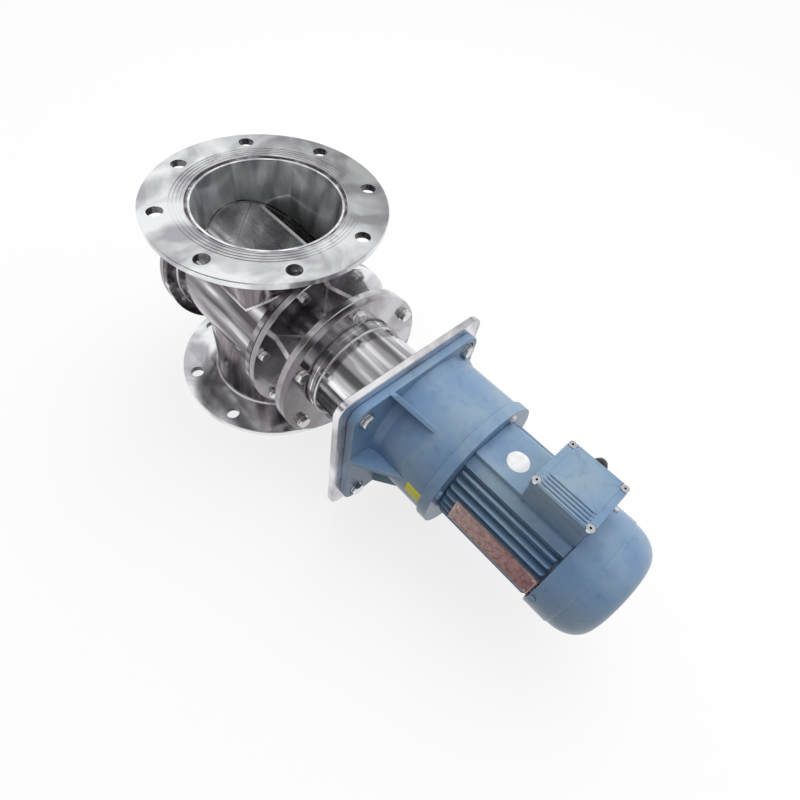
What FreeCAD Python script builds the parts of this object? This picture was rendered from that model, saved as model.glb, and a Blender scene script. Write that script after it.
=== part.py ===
"""Rotary airlock valve with a DN200 flanged body and a gear motor on a lantern.

Millimetres. The origin is the centre of the outlet flange's joint face, +Z points up to the
inlet, and +X runs along the rotor axis to the motor. A length that starts at the rotor axis is
written as (y, z) from that axis, and the axis height is added by the helpers below.
"""
import FreeCAD, Part
import math
import os

Vector = FreeCAD.Vector

# Flanged ports, DN200 PN10
face_to_face = 350.0
port_flange_od = 340.0
port_flange_t = 10.0
port_bolt_edge = 22.5
port_bolt_count = 8
port_bolt_hole = 22.0
port_pipe_gap = 1.2
port_weld_setback = 3.0
groove_pitch = 5.0
groove_count = 4
groove_w = 2.0
groove_depth = 0.8

# Welded body of pipe
pipe_od = 219.1
pipe_wall = 6.0
throat_w = 166.0
throat_foot = 58.0
drum_overhang = 7.45
end_flange_rim = 18.0
end_flange_t = 10.0
cover_bolt_offset = 5.0
cover_bolt_count = 7
cover_bolt_phase = 57.2
cover_screw_d = 8.0
gasket_t = 1.0

# End covers, packing and bearings
cover_t = 10.0
neck_bush_t = 4.0
packing_ring_w = 8.0
packing_ring_count = 3
packing_section = 8.0
stuffing_wall = 8.0
gland_t = 7.0
gland_lip = 6.0
bearing_bore = 35.0
bearing_od = 72.0
bearing_w = 17.0
bearing_race = 6.5
bearing_wall = 10.0
bearing_lip_t = 3.0
bearing_cap_t = 7.0
cap_screw_d = 6.0
outboard_gap = 4.0

# Bearing yoke on the drive side
yoke_length = 49.0
yoke_rib_count = 6
yoke_rib_t = 8.0
yoke_rib_phase = 25.0
yoke_rib_clearance = 16.0
yoke_rib_foot_inset = 10.5
yoke_rib_head_inset = 6.5
yoke_flange_od = 251.0
yoke_flange_t = 10.5

# Rotor
blade_count = 6
blade_t = 6.0
blade_phase = 0.0
blade_tip_bevel = 4.0
tip_clearance = 0.25
end_clearance = 0.5
hub_od = 60.0
shaft_d = 40.0
shaft_end_d = 32.0
key_w = 10.0
key_h = 8.0
key_length = 60.0

# Lantern between valve and gear motor
lantern_flange_t = 10.5
lantern_bolt_edge = 15.5
lantern_bolt_count = 6
lantern_screw_d = 10.0
lantern_tube_od = 160.0
lantern_tube_wall = 6.0
lantern_tube_length = 102.0
window_centre_deg = 174.0
window_half_deg = 24.0
window_start = 6.0
window_length = 80.0
window_cut_margin = 10.0
plate_side = 254.0
plate_t = 10.0
plate_corner_r = 20.0

# Jaw coupling
coupling_od = 76.0
coupling_hub_l = 28.0
coupling_jaw_l = 14.0
coupling_jaw_deg = 40.0
coupling_jaw_count = 3
coupling_gap = 2.0
coupling_start = 6.0
spider_core = 36.0
coupling_key_w = 8.0
coupling_key_h = 7.0

# Gearbox, with the motor axis beside the output shaft
motor_offset_y = 24.0
gear_flange_side = 225.0
gear_flange_t = 12.0
gear_flange_corner_r = 23.0
gear_bolt_inset = 21.5
gear_bolt_d = 10.0
gear_spigot_d = 130.0
gear_spigot_h = 5.0
gearbox_od = 196.0
gearbox_length = 96.0
gearbox_flare = 5.0
gearbox_flare_l = 12.0
gear_rib_t = 6.0
gear_rib_reach = 62.0
gear_rib_height = 40.0
gear_rib_angles = (124.0, 176.0, -124.0)
bolt_seat_d = 26.0
bolt_seat_depth = 2.0
output_bearing_od = 62.0
output_bearing_w = 16.0
output_shaft_depth = 36.0
rim_od = 204.0
rim_t = 15.0
shield_bolt_edge = 8.0
shield_screw_phase = 70.0

# Motor
frame_core_d = 132.0
frame_length = 153.0
frame_wall = 12.0
fin_tip_d = 158.0
fin_pitch = 10.6
fin_t = 3.4
fin_rows = 7
foot_fin_count = 6
shoulder_half_w = 44.0
shoulder_z = 67.0
pad_half_w = 35.4
pad_z = 78.0
stator_length = 80.0
stator_start = 36.0
air_gap = 0.4
core_d = 66.0
motor_shaft_d = 25.0
motor_bearing_od = 52.0
motor_bearing_w = 15.0
rear_shield_t = 10.0
rear_shield_rim = 4.0
cowl_lug_w = 14.0
cowl_od = 165.6
cowl_wall = 2.5
cowl_length = 76.0
cowl_straight = 34.0
cowl_step = 1.0
cowl_face_d = 98.0
cowl_slot_count = 16
cowl_slot_w = 4.5
cowl_slot_inner = 13.0
cowl_slot_outer = 45.0
cowl_screw_count = 3
cowl_screw_phase = 58.5
cowl_screw_d = 5.0
fan_od = 124.0
fan_hub_d = 40.0
fan_width = 22.0
fan_disc_t = 2.0
fan_blade_count = 8
fan_blade_t = 2.5
fan_start = 16.0

# Terminal box
box_end_gap = 1.0
box_length = 78.0
box_half_w = 38.0
box_height = 33.0
box_wall = 3.0
lid_overhang = 2.0
lid_t = 12.0
lid_screw_inset = 2.8
lid_screw_d = 5.0
lid_screw_head_t = 3.5
lid_seat_depth = 3.0
lid_hole_depth = 12.0
lid_screw_reach = 10.0
lid_groove_count = 4
lid_groove_w = 2.2
lid_groove_pitch = 5.2
lid_groove_edge = 4.0
lid_groove_end = 12.0
lid_groove_depth = 1.2
plug_d = 24.0
plug_length = 18.0
plug_top_gap = 0.8
terminal_block_size = (44.0, 30.0, 14.0)
rating_plate_size = (130.0, 36.0, 1.0)
rating_plate_angle = 171.0
rating_plate_start = 21.0

# General fits
running_gap = 0.05
free_gap = 0.3
edge_break = 1.0
hexagons = ((5.0, 8.0, 3.5), (6.0, 10.0, 4.0), (8.0, 13.0, 5.5), (10.0, 17.0, 7.0))
washer_ratio = 2.0
washer_t_ratio = 0.2

# Places worked out from the sizes above
axis_z = face_to_face / 2
port_bolt_circle = port_flange_od - 2 * port_bolt_edge
port_flange_bore = pipe_od + 2 * port_pipe_gap
pipe_r = pipe_od / 2
bore_r = pipe_r - pipe_wall
drum_length = pipe_od + 2 * drum_overhang
end_flange_od = pipe_od + 2 * end_flange_rim
cover_bolt_circle = pipe_od + 2 * cover_bolt_offset
lantern_bolt_circle = yoke_flange_od - 2 * lantern_bolt_edge
gear_bolt_spacing = gear_flange_side - 2 * gear_bolt_inset
cover_face = drum_length / 2 + gasket_t
cover_back = cover_face + cover_t
yoke_face = cover_back + yoke_length
lantern_face = yoke_face + yoke_flange_t
tube_start = lantern_face + lantern_flange_t
plate_face = tube_start + lantern_tube_length
plate_back = plate_face + plate_t
gear_back = plate_back + gear_flange_t
rim_face = gear_back + gearbox_length
frame_face = rim_face + rim_t
frame_back = frame_face + frame_length
box_x = frame_back - box_end_gap - box_length
plug_z = pad_z + box_height - plug_top_gap - plug_d / 2
shaft_r = shaft_d / 2
stuffing_r = shaft_r + packing_section
packing_start = cover_face + neck_bush_t
packing_end = packing_start + packing_ring_count * packing_ring_w
bearing_start = lantern_face - bearing_w
outboard_bearing = packing_end + outboard_gap
outboard_end = outboard_bearing + bearing_w
race_r = bearing_bore / 2 + bearing_race
coupling_a = lantern_face + bearing_cap_t + coupling_start
jaw_face = coupling_a + coupling_hub_l
coupling_b = jaw_face + coupling_gap + coupling_jaw_l
rotor_half = cover_face - end_clearance
tip_r = bore_r - tip_clearance


def polar(radius, degrees, y0=0.0):
    """The (y, z) of a point about an axis at y0, from the +Y direction towards +Z."""
    angle = math.radians(degrees)
    return y0 + radius * math.cos(angle), radius * math.sin(angle)


def x_cylinder(diameter, x0, x1, y=0.0, z=0.0):
    base = Vector(min(x0, x1), y, axis_z + z)
    return Part.makeCylinder(diameter / 2, abs(x1 - x0), base, Vector(1, 0, 0))


def x_ring(outer, inner, x0, x1, y=0.0):
    return x_cylinder(outer, x0, x1, y).cut(x_cylinder(inner, x0, x1, y))


def z_cylinder(diameter, z0, z1, x=0.0, y=0.0):
    return Part.makeCylinder(diameter / 2, z1 - z0, Vector(x, y, z0))


def block(x0, x1, y0, y1, z0, z1):
    """A box whose heights are measured from the rotor axis."""
    return Part.makeBox(x1 - x0, y1 - y0, z1 - z0, Vector(x0, y0, axis_z + z0))


def turned(shape, degrees, y0=0.0):
    """A copy turned about the X line through y0 at axis height."""
    copy = shape.copy()
    copy.rotate(Vector(0, y0, axis_z), Vector(1, 0, 0), degrees)
    return copy


def mirrored_x(shape):
    return shape.mirror(Vector(0, 0, 0), Vector(1, 0, 0))


def union(shapes):
    first = shapes[0]
    if len(shapes) == 1:
        return first
    return first.multiFuse(shapes[1:]).removeSplitter()


def ring_angles(count, phase=0.0):
    return [phase + 360.0 * i / count for i in range(count)]


def x_holes(diameter, circle, angles, x0, x1, y0=0.0):
    """Cylinders along X on a bolt circle."""
    return [x_cylinder(diameter, x0, x1, *polar(circle / 2, a, y0)) for a in angles]


def hexagon(size):
    """Width across flats and height of a screw's head, in proportion to the nearest standard one."""
    thread, flats, height = min(hexagons, key=lambda row: abs(row[0] - size))
    return flats * size / thread, height * size / thread


def hex_head(size, seat, top, y, z):
    """A hexagonal prism along X with its corners turned off at 30 degrees round the top."""
    flats = hexagon(size)[0]
    corner = flats / math.sqrt(3)
    points = [Vector(seat, y + corner * math.cos(math.radians(60 * i)),
                     axis_z + z + corner * math.sin(math.radians(60 * i))) for i in range(7)]
    prism = Part.Face(Part.makePolygon(points)).extrude(Vector(top - seat, 0, 0))
    height = abs(top - seat)
    top_r = 0.475 * flats
    cone = Part.makeCone(top_r + height * math.sqrt(3), top_r, height, Vector(seat, y, axis_z + z),
                         Vector(1 if top > seat else -1, 0, 0))
    return prism.common(cone)


def x_screw(size, seat_x, tip_x, y, z):
    """A hexagon screw seated at seat_x with its tip at tip_x, pointing either way along X."""
    away = 1 if seat_x > tip_x else -1
    head = hex_head(size, seat_x, seat_x + away * hexagon(size)[1], y, z)
    return head.fuse(x_cylinder(size, tip_x, seat_x, y, z))


def washered_screw(size, seat_x, tip_x, y, z):
    """A hexagon screw and the washer under its head, as two solids."""
    away = 1 if seat_x > tip_x else -1
    raised = seat_x + away * washer_t_ratio * size
    washer = x_cylinder(washer_ratio * size, seat_x, raised, y, z)
    washer = washer.cut(x_cylinder(size + 2 * running_gap, seat_x, raised, y, z))
    return [x_screw(size, raised, tip_x, y, z), washer]


def eased(shape, diameters):
    """Breaks the round edges of these diameters with a small chamfer."""
    rims = [e for e in shape.Edges if isinstance(e.Curve, Part.Circle)
            and min(abs(2 * e.Curve.Radius - d) for d in diameters) < 0.01]
    return shape.makeChamfer(edge_break, rims)


def rounded_square(side, corner_r, x0, x1):
    """A square plate across the X axis with rounded corners."""
    half = side / 2
    plate = block(x0, x1, -half, half, -half, half)
    along_x = [e for e in plate.Edges if abs(e.tangentAt(e.FirstParameter).x) > 0.9]
    return plate.makeFillet(corner_r, along_x)


def eased_plate(plate):
    """Breaks both outlines of a plate that lies across the X axis."""
    return plate.makeChamfer(edge_break, [e for e in plate.Edges if e.BoundBox.XLength < 0.01])


def revolved(points, y0=0.0):
    """A closed (x, radius) outline turned about the X line through y0."""
    corners = [Vector(x, y0, axis_z + r) for x, r in points]
    face = Part.Face(Part.makePolygon(corners + corners[:1]))
    return face.revolve(Vector(0, y0, axis_z), Vector(1, 0, 0), 360)


def port_flange(bottom, joint_z):
    """A flat flange with its bolt holes astride the centre lines and a turned joint face."""
    flange = z_cylinder(port_flange_od, bottom, bottom + port_flange_t)
    flange = flange.cut(z_cylinder(port_flange_bore, bottom, bottom + port_flange_t))
    flange = eased(flange, (port_flange_od, port_flange_bore))
    cutters = []
    for angle in ring_angles(port_bolt_count, 180.0 / port_bolt_count):
        x = port_bolt_circle / 2 * math.cos(math.radians(angle))
        y = port_bolt_circle / 2 * math.sin(math.radians(angle))
        cutters.append(z_cylinder(port_bolt_hole, bottom, bottom + port_flange_t, x, y))
    low = joint_z if joint_z == bottom else joint_z - groove_depth
    for i in range(groove_count):
        inner = port_flange_bore + groove_pitch + 2 * i * groove_pitch
        groove = z_cylinder(inner + 2 * groove_w, low, low + groove_depth)
        cutters.append(groove.cut(z_cylinder(inner, low, low + groove_depth)))
    return flange.cut(Part.makeCompound(cutters))


def throat_outline(radius, half_w, z, flat):
    """Four edges round a neck: two end arcs, and two sides that are straight or bow to the circle."""
    x = math.sqrt(radius ** 2 - half_w ** 2)
    corners = [Vector(x, half_w, z), Vector(-x, half_w, z), Vector(-x, -half_w, z), Vector(x, -half_w, z)]
    middles = [Vector(0, radius, z), Vector(-radius, 0, z), Vector(0, -radius, z), Vector(radius, 0, z)]
    edges = []
    for i in range(4):
        start, end = corners[i], corners[(i + 1) % 4]
        straight = flat and i % 2 == 0
        edges.append(Part.LineSegment(start, end).toShape() if straight
                     else Part.Arc(start, middles[i], end).toShape())
    return Part.Wire(edges)


def throat(radius, half_w, pipe_end):
    """A solid that is round in the flange bore and narrows along Y to the drum's port."""
    flange_back = axis_z - port_flange_t
    side_z = math.sqrt(pipe_r ** 2 - (throat_w / 2 + pipe_wall) ** 2)
    outlines = [throat_outline(radius, half_w, axis_z + flange_back, False),
                throat_outline(radius, half_w, axis_z + side_z, True)]
    transition = Part.makeLoft(outlines, True, True)
    low = Part.Face(throat_outline(radius, half_w, axis_z + throat_foot, True))
    foot = low.extrude(Vector(0, 0, side_z - throat_foot))
    pipe = z_cylinder(2 * radius, axis_z + flange_back, axis_z + pipe_end)
    return foot.fuse(transition).fuse(pipe)


def port_neck():
    """The inlet neck, a pipe at the flange whose sides are drawn in to the width of the port."""
    end = axis_z - port_weld_setback
    outside = throat(pipe_r, throat_w / 2 + pipe_wall, end)
    neck = outside.cut(throat(bore_r, throat_w / 2, end))
    half = drum_length / 2
    neck = neck.cut(x_cylinder(pipe_od, -half, half))
    for side in (-1, 1):
        neck = neck.cut(x_cylinder(end_flange_od, side * half, side * (half - end_flange_t)))
    return neck


def flange_weld(z0, z1):
    """The weld ring that joins a neck to the bore of its flange."""
    return z_cylinder(port_flange_bore, z0, z1).cut(z_cylinder(pipe_od + 2 * running_gap, z0, z1))


def body_drum():
    """The horizontal drum with both ports cut through it and a bolting flange at each end."""
    half = drum_length / 2
    drum = x_cylinder(pipe_od, -half, half)
    for side in (-1, 1):
        ring = x_cylinder(end_flange_od, side * half, side * (half - end_flange_t))
        drum = drum.fuse(eased(ring, (end_flange_od,)))
    drum = drum.cut(x_cylinder(2 * bore_r, -half, half))
    port = Part.Face(throat_outline(bore_r, throat_w / 2, axis_z - pipe_od, True))
    drum = drum.cut(port.extrude(Vector(0, 0, 2 * pipe_od)))
    holes = []
    for side in (-1, 1):
        holes += x_holes(cover_screw_d, cover_bolt_circle, cover_angles(side), side * half,
                         side * (half - end_flange_t))
    return drum.cut(Part.makeCompound(holes))


def cover_angles(side):
    """The cover screws' angles, which the two ends of the drum hold upside down to each other."""
    return ring_angles(cover_bolt_count, side * cover_bolt_phase)


def cover_gasket(side):
    ring = x_ring(end_flange_od - 1, 2 * bore_r, drum_length / 2, cover_face)
    holes = x_holes(cover_screw_d, cover_bolt_circle, cover_angles(side), 0, cover_face)
    return ring.cut(Part.makeCompound(holes))


def cover_screws(side):
    """Hexagon screws with washers that hold an end cover to the drum."""
    tip = drum_length / 2 - end_flange_t
    spots = [polar(cover_bolt_circle / 2, a) for a in cover_angles(side)]
    return [s for y, z in spots for s in washered_screw(cover_screw_d, cover_back, tip, y, z)]


def cover_plate(side):
    """An end cover's plate with its screw holes."""
    plate = eased(x_cylinder(end_flange_od, cover_face, cover_back), (end_flange_od,))
    holes = x_holes(cover_screw_d, cover_bolt_circle, cover_angles(side), cover_face, cover_back)
    return plate.cut(Part.makeCompound(holes))


def stuffing_bore(cover, end):
    """Opens the shaft hole and the packing chamber in a cover."""
    cover = cover.cut(x_cylinder(shaft_d + 2 * free_gap, cover_face, end))
    return cover.cut(x_cylinder(2 * stuffing_r, packing_start, end))


def drive_cover():
    """The drive cover with the stuffing box that stands out of it."""
    box_end = packing_end + gland_t / 2
    barrel = x_cylinder(2 * (stuffing_r + stuffing_wall), cover_face, box_end)
    return stuffing_bore(cover_plate(1).fuse(barrel), box_end)


def packing():
    """Square packing rings round the shaft."""
    return [x_ring(2 * stuffing_r, shaft_d + 2 * running_gap, packing_start + i * packing_ring_w,
                   packing_start + (i + 1) * packing_ring_w) for i in range(packing_ring_count)]


def drive_gland():
    """The gland that presses on the packing, with its flange outside the stuffing box."""
    box_end = packing_end + gland_t / 2
    sleeve = x_cylinder(2 * stuffing_r - 2 * running_gap, packing_end, box_end + gland_t)
    flange = x_cylinder(2 * (stuffing_r + stuffing_wall + gland_lip), box_end + 1, box_end + gland_t)
    gland = sleeve.fuse(flange).cut(x_cylinder(shaft_d + 2 * free_gap, packing_end, box_end + gland_t))
    return gland.cut(Part.makeCompound(gland_holes(box_end)))


def gland_holes(box_end):
    circle = 2 * (stuffing_r + stuffing_wall / 2)
    return x_holes(cap_screw_d, circle, (45.0, 225.0), box_end, box_end + gland_t)


def gland_screws():
    box_end = packing_end + gland_t / 2
    circle = stuffing_r + stuffing_wall / 2
    spots = [polar(circle, a) for a in (45.0, 225.0)]
    return [x_screw(cap_screw_d, box_end + gland_t, box_end, y, z) for y, z in spots]


def yoke_ribs():
    """Gusset plates between the drive cover and the bearing flange, wider at the flange."""
    inner = stuffing_r + stuffing_wall + gland_lip + yoke_rib_clearance
    foot = cover_bolt_circle / 2 - yoke_rib_foot_inset
    head = yoke_flange_od / 2 - yoke_rib_head_inset
    corners = [Vector(cover_back, -yoke_rib_t / 2, axis_z + inner),
               Vector(yoke_face, -yoke_rib_t / 2, axis_z + inner),
               Vector(yoke_face, -yoke_rib_t / 2, axis_z + head),
               Vector(cover_back, -yoke_rib_t / 2, axis_z + foot)]
    rib = Part.Face(Part.makePolygon(corners + corners[:1])).extrude(Vector(0, yoke_rib_t, 0))
    return [turned(rib, a - 90) for a in ring_angles(yoke_rib_count, yoke_rib_phase)]


def lantern_angles():
    return ring_angles(lantern_bolt_count, 180.0 / lantern_bolt_count)


def bearing_flange():
    """The yoke's outer plate with the drive bearing seat and the lantern screws' tapped holes."""
    seat_d = bearing_od + 2 * bearing_wall
    plate = eased(x_cylinder(yoke_flange_od, yoke_face, lantern_face), (yoke_flange_od,))
    plate = plate.fuse(x_cylinder(seat_d, bearing_start - bearing_lip_t, lantern_face))
    plate = plate.cut(x_cylinder(bearing_od, bearing_start, lantern_face))
    plate = plate.cut(x_cylinder(shaft_d + 2 * free_gap, bearing_start - bearing_lip_t, lantern_face))
    holes = x_holes(lantern_screw_d, lantern_bolt_circle, lantern_angles(), yoke_face, lantern_face)
    holes += cap_screw_holes(lantern_face - bearing_wall, lantern_face)
    return plate.cut(Part.makeCompound(holes))


def cap_screw_holes(x0, x1):
    circle = bearing_od + bearing_wall
    return x_holes(cap_screw_d, circle, ring_angles(4, 45.0), x0, x1)


def bearing_outer(x0):
    return x_ring(bearing_od, 2 * race_r + 2 * running_gap, x0, x0 + bearing_w)


def bearing_inner(x0):
    return x_ring(2 * race_r, bearing_bore, x0, x0 + bearing_w)


def drive_bearing_cap():
    """The ring that keeps the drive bearing in its seat."""
    cap = x_cylinder(bearing_od + 2 * bearing_wall, lantern_face, lantern_face + bearing_cap_t)
    cap = cap.cut(x_cylinder(bearing_bore + 4, lantern_face, lantern_face + bearing_cap_t))
    return cap.cut(Part.makeCompound(cap_screw_holes(lantern_face, lantern_face + bearing_cap_t)))


def cap_screws(seat, tip):
    circle = (bearing_od + bearing_wall) / 2
    return [x_screw(cap_screw_d, seat, tip, *polar(circle, a)) for a in ring_angles(4, 45.0)]


def outboard_cover():
    """The outboard cover with its packing chamber and bearing seat, made for +X and mirrored."""
    barrel = x_cylinder(bearing_od + 2 * bearing_wall, cover_back, outboard_end)
    cover = cover_plate(-1).fuse(barrel)
    cover = cover.cut(x_cylinder(shaft_d + 2 * free_gap, cover_face, outboard_end))
    cover = cover.cut(x_cylinder(2 * stuffing_r, packing_start, packing_end))
    cover = cover.cut(x_cylinder(bearing_od, outboard_bearing, outboard_end))
    return cover.cut(Part.makeCompound(cap_screw_holes(outboard_end - bearing_wall, outboard_end)))


def outboard_cap():
    """The closed cap over the outboard bearing, with a raised centre."""
    cap_d = bearing_od + 2 * bearing_wall
    cap = x_cylinder(cap_d, outboard_end, outboard_end + bearing_cap_t)
    dome = Part.makeCone(bearing_od / 2 - 4, bearing_od / 2 - 8, bearing_lip_t,
                         Vector(outboard_end + bearing_cap_t, 0, axis_z), Vector(1, 0, 0))
    cap = cap.fuse(dome).cut(x_cylinder(2 * race_r, outboard_end, outboard_end + bearing_cap_t / 2))
    return cap.cut(Part.makeCompound(cap_screw_holes(outboard_end, outboard_end + bearing_cap_t)))


def blade():
    """One rotor blade standing on the hub, its tip rounded to the bore and relieved behind."""
    half = blade_t / 2
    plate = block(-rotor_half, rotor_half, -half, half, 0, tip_r + 1)
    plate = plate.common(x_cylinder(2 * tip_r, -rotor_half, rotor_half))
    plate = plate.cut(x_cylinder(hub_od, -rotor_half, rotor_half))
    tip = [Vector(-rotor_half, half, axis_z + tip_r - blade_tip_bevel),
           Vector(-rotor_half, half, axis_z + tip_r),
           Vector(-rotor_half, half - blade_tip_bevel, axis_z + tip_r)]
    relief = Part.Face(Part.makePolygon(tip + tip[:1])).extrude(Vector(2 * rotor_half, 0, 0))
    return plate.cut(relief)


def rotor_blades():
    one = blade()
    return [turned(one, a - 90) for a in ring_angles(blade_count, blade_phase)]


def rotor_key():
    """The key that turns the hub, half in the shaft."""
    half = key_w / 2
    return block(-key_length / 2, key_length / 2, -half, half, shaft_r - key_h / 2, shaft_r + key_h / 2)


def rotor_hub():
    hub = x_ring(hub_od, shaft_d, -rotor_half, rotor_half)
    return hub.cut(rotor_key())


def coupling_key(x0, x1):
    half = coupling_key_w / 2
    middle = shaft_end_d / 2
    return block(x0, x1, -half, half, middle - coupling_key_h / 2, middle + coupling_key_h / 2)


def rotor_shaft():
    """The stepped shaft: full size through both packings, then the bearing seats and coupling end."""
    shaft = x_cylinder(shaft_d, -outboard_bearing, bearing_start)
    shaft = shaft.fuse(x_cylinder(bearing_bore, -outboard_end, lantern_face + bearing_cap_t))
    shaft = shaft.fuse(x_cylinder(shaft_end_d, lantern_face, jaw_face))
    return shaft.cut(rotor_key()).cut(coupling_key(coupling_a, jaw_face))


def sector(outer, inner, x0, x1, centre_deg, width_deg):
    """A piece of a ring along X between two angles."""
    ring = x_ring(outer, inner, x0, x1)
    far = outer
    edges = [polar(far, centre_deg + width_deg * s) for s in (-0.5, 0.5)]
    points = [Vector(x0, 0, axis_z)] + [Vector(x0, y, axis_z + z) for y, z in edges]
    wedge = Part.Face(Part.makePolygon(points + points[:1])).extrude(Vector(x1 - x0, 0, 0))
    return ring.common(wedge)


def coupling_half(hub_x, face_x, phase):
    """A coupling hub with jaws on the face that looks at the other half."""
    away = 1 if face_x > hub_x else -1
    parts = [x_ring(coupling_od, shaft_end_d, hub_x, face_x)]
    tip = face_x + away * coupling_jaw_l
    for angle in ring_angles(coupling_jaw_count, phase):
        parts.append(sector(coupling_od, spider_core, min(face_x, tip), max(face_x, tip),
                            angle, coupling_jaw_deg))
    return union(parts).cut(coupling_key(min(hub_x, face_x), max(hub_x, face_x)))


def coupling_spider():
    """The soft star between the jaws, six legs on a ring."""
    x0 = jaw_face + coupling_gap / 2
    x1 = coupling_b - coupling_gap / 2
    leg = 180.0 / coupling_jaw_count - coupling_jaw_deg
    star = [x_ring(spider_core, spider_core / 2, x0, x1)]
    for angle in ring_angles(2 * coupling_jaw_count, 90.0 / coupling_jaw_count):
        star.append(sector(coupling_od - 4, spider_core - 2, x0, x1, angle, leg))
    return union(star)


def lantern():
    """The lantern's flange and turned tube, with a window on each side over the coupling."""
    bore = lantern_tube_od - 2 * lantern_tube_wall
    body = eased(x_cylinder(yoke_flange_od, lantern_face, tube_start), (yoke_flange_od,))
    body = body.fuse(x_cylinder(lantern_tube_od, tube_start, plate_face))
    body = body.cut(x_cylinder(bore, lantern_face, plate_face))
    x0 = tube_start + window_start
    for centre in (window_centre_deg, window_centre_deg - 180.0):
        body = body.cut(sector(lantern_tube_od + 2 * window_cut_margin, bore - 2 * window_cut_margin,
                               x0, x0 + window_length, centre, 2 * window_half_deg))
    holes = x_holes(lantern_screw_d, lantern_bolt_circle, lantern_angles(), lantern_face, tube_start)
    return body.cut(Part.makeCompound(holes))


def lantern_screws():
    spots = [polar(lantern_bolt_circle / 2, a) for a in lantern_angles()]
    return [s for y, z in spots for s in washered_screw(lantern_screw_d, tube_start, yoke_face, y, z)]


def corner_spots():
    half = gear_bolt_spacing / 2
    return [(sy * half, sz * half) for sy, sz in ((1, 1), (-1, 1), (-1, -1), (1, -1))]


def motor_plate():
    """The square plate on the lantern tube that carries the gear motor."""
    plate = eased_plate(rounded_square(plate_side, plate_corner_r, plate_face, plate_back))
    plate = plate.cut(x_cylinder(gear_spigot_d, plate_face, plate_back))
    holes = [x_cylinder(gear_bolt_d, plate_face, plate_back, y, z) for y, z in corner_spots()]
    return plate.cut(Part.makeCompound(holes))


def plate_bolts():
    """Bolts through the gearbox flange and the plate."""
    seat = gear_back - bolt_seat_depth
    tip = plate_face - hexagon(gear_bolt_d)[1] - 2
    return [s for y, z in corner_spots() for s in washered_screw(gear_bolt_d, seat, tip, y, z)]


def plate_nuts():
    nuts = []
    low = plate_face - hexagon(gear_bolt_d)[1]
    for y, z in corner_spots():
        nut = hex_head(gear_bolt_d, plate_face, low, y, z)
        nuts.append(nut.cut(x_cylinder(gear_bolt_d, low, plate_face, y, z)))
    return nuts


def gear_rib(degrees):
    """A gusset from the flange down to the gearbox barrel in a plane through the motor axis."""
    y0 = motor_offset_y
    r = gearbox_od / 2
    half = gear_rib_t / 2
    tip = r + gear_rib_height
    corners = [(gear_back - 1, r - 6), (gear_back - 1, tip), (gear_back, tip),
               (gear_back + gear_rib_reach, r), (gear_back + gear_rib_reach, r - 6)]
    points = [Vector(x, y0 - half, axis_z + z) for x, z in corners]
    rib = Part.Face(Part.makePolygon(points + points[:1])).extrude(Vector(0, gear_rib_t, 0))
    return turned(rib, degrees - 90, y0)


def gearbox_housing():
    """The gearbox casting: square flange, flared barrel, and gussets beside the bolts."""
    y0 = motor_offset_y
    flange = eased_plate(rounded_square(gear_flange_side, gear_flange_corner_r, plate_back, gear_back))
    prism = rounded_square(gear_flange_side, gear_flange_corner_r, plate_back, rim_face)
    ribs = [gear_rib(a).common(prism) for a in gear_rib_angles]
    flare = Part.makeCone(gearbox_od / 2 + gearbox_flare, gearbox_od / 2, gearbox_flare_l,
                          Vector(gear_back, y0, axis_z), Vector(1, 0, 0)).common(prism)
    barrel = x_cylinder(gearbox_od, gear_back - 1, rim_face, y0)
    spigot = x_cylinder(gear_spigot_d - 2 * running_gap, plate_back - gear_spigot_h, plate_back)
    housing = union([flange, barrel, flare, spigot] + ribs)
    cuts = [x_cylinder(bolt_seat_d, gear_back - bolt_seat_depth, rim_face, y, z)
            for y, z in corner_spots()]
    cuts += [x_cylinder(gear_bolt_d, plate_back, gear_back, y, z) for y, z in corner_spots()]
    nose = plate_back - gear_spigot_h
    cuts.append(x_cylinder(output_bearing_od, nose, nose + output_bearing_w))
    cuts.append(x_cylinder(shaft_end_d + 2 * free_gap, nose, gear_back + output_shaft_depth))
    return housing.cut(Part.makeCompound(cuts))


def output_bearing():
    nose = plate_back - gear_spigot_h
    return x_ring(output_bearing_od, shaft_end_d + 2 * running_gap, nose, nose + output_bearing_w)


def gearbox_shaft():
    """The slow output shaft, keyed in the coupling's motor half."""
    shaft = x_cylinder(shaft_end_d, coupling_b, gear_back + output_shaft_depth - 1)
    return shaft.cut(coupling_key(coupling_b, coupling_b + coupling_hub_l))


def input_shield():
    """The round shield between gearbox and motor, with the front motor bearing's seat."""
    y0 = motor_offset_y
    shield = x_cylinder(rim_od, rim_face, frame_face, y0)
    shield = shield.cut(x_cylinder(motor_bearing_od, rim_face, rim_face + motor_bearing_w, y0))
    return shield.cut(Part.makeCompound(shield_holes(rim_face, frame_face)))


def shield_holes(x0, x1):
    circle = rim_od - 2 * shield_bolt_edge
    return x_holes(cap_screw_d, circle, ring_angles(4, shield_screw_phase), x0, x1, motor_offset_y)


def shield_screws():
    circle = rim_od / 2 - shield_bolt_edge
    return [x_screw(cap_screw_d, frame_face, rim_face, *polar(circle, a, motor_offset_y))
            for a in ring_angles(4, shield_screw_phase)]


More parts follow.
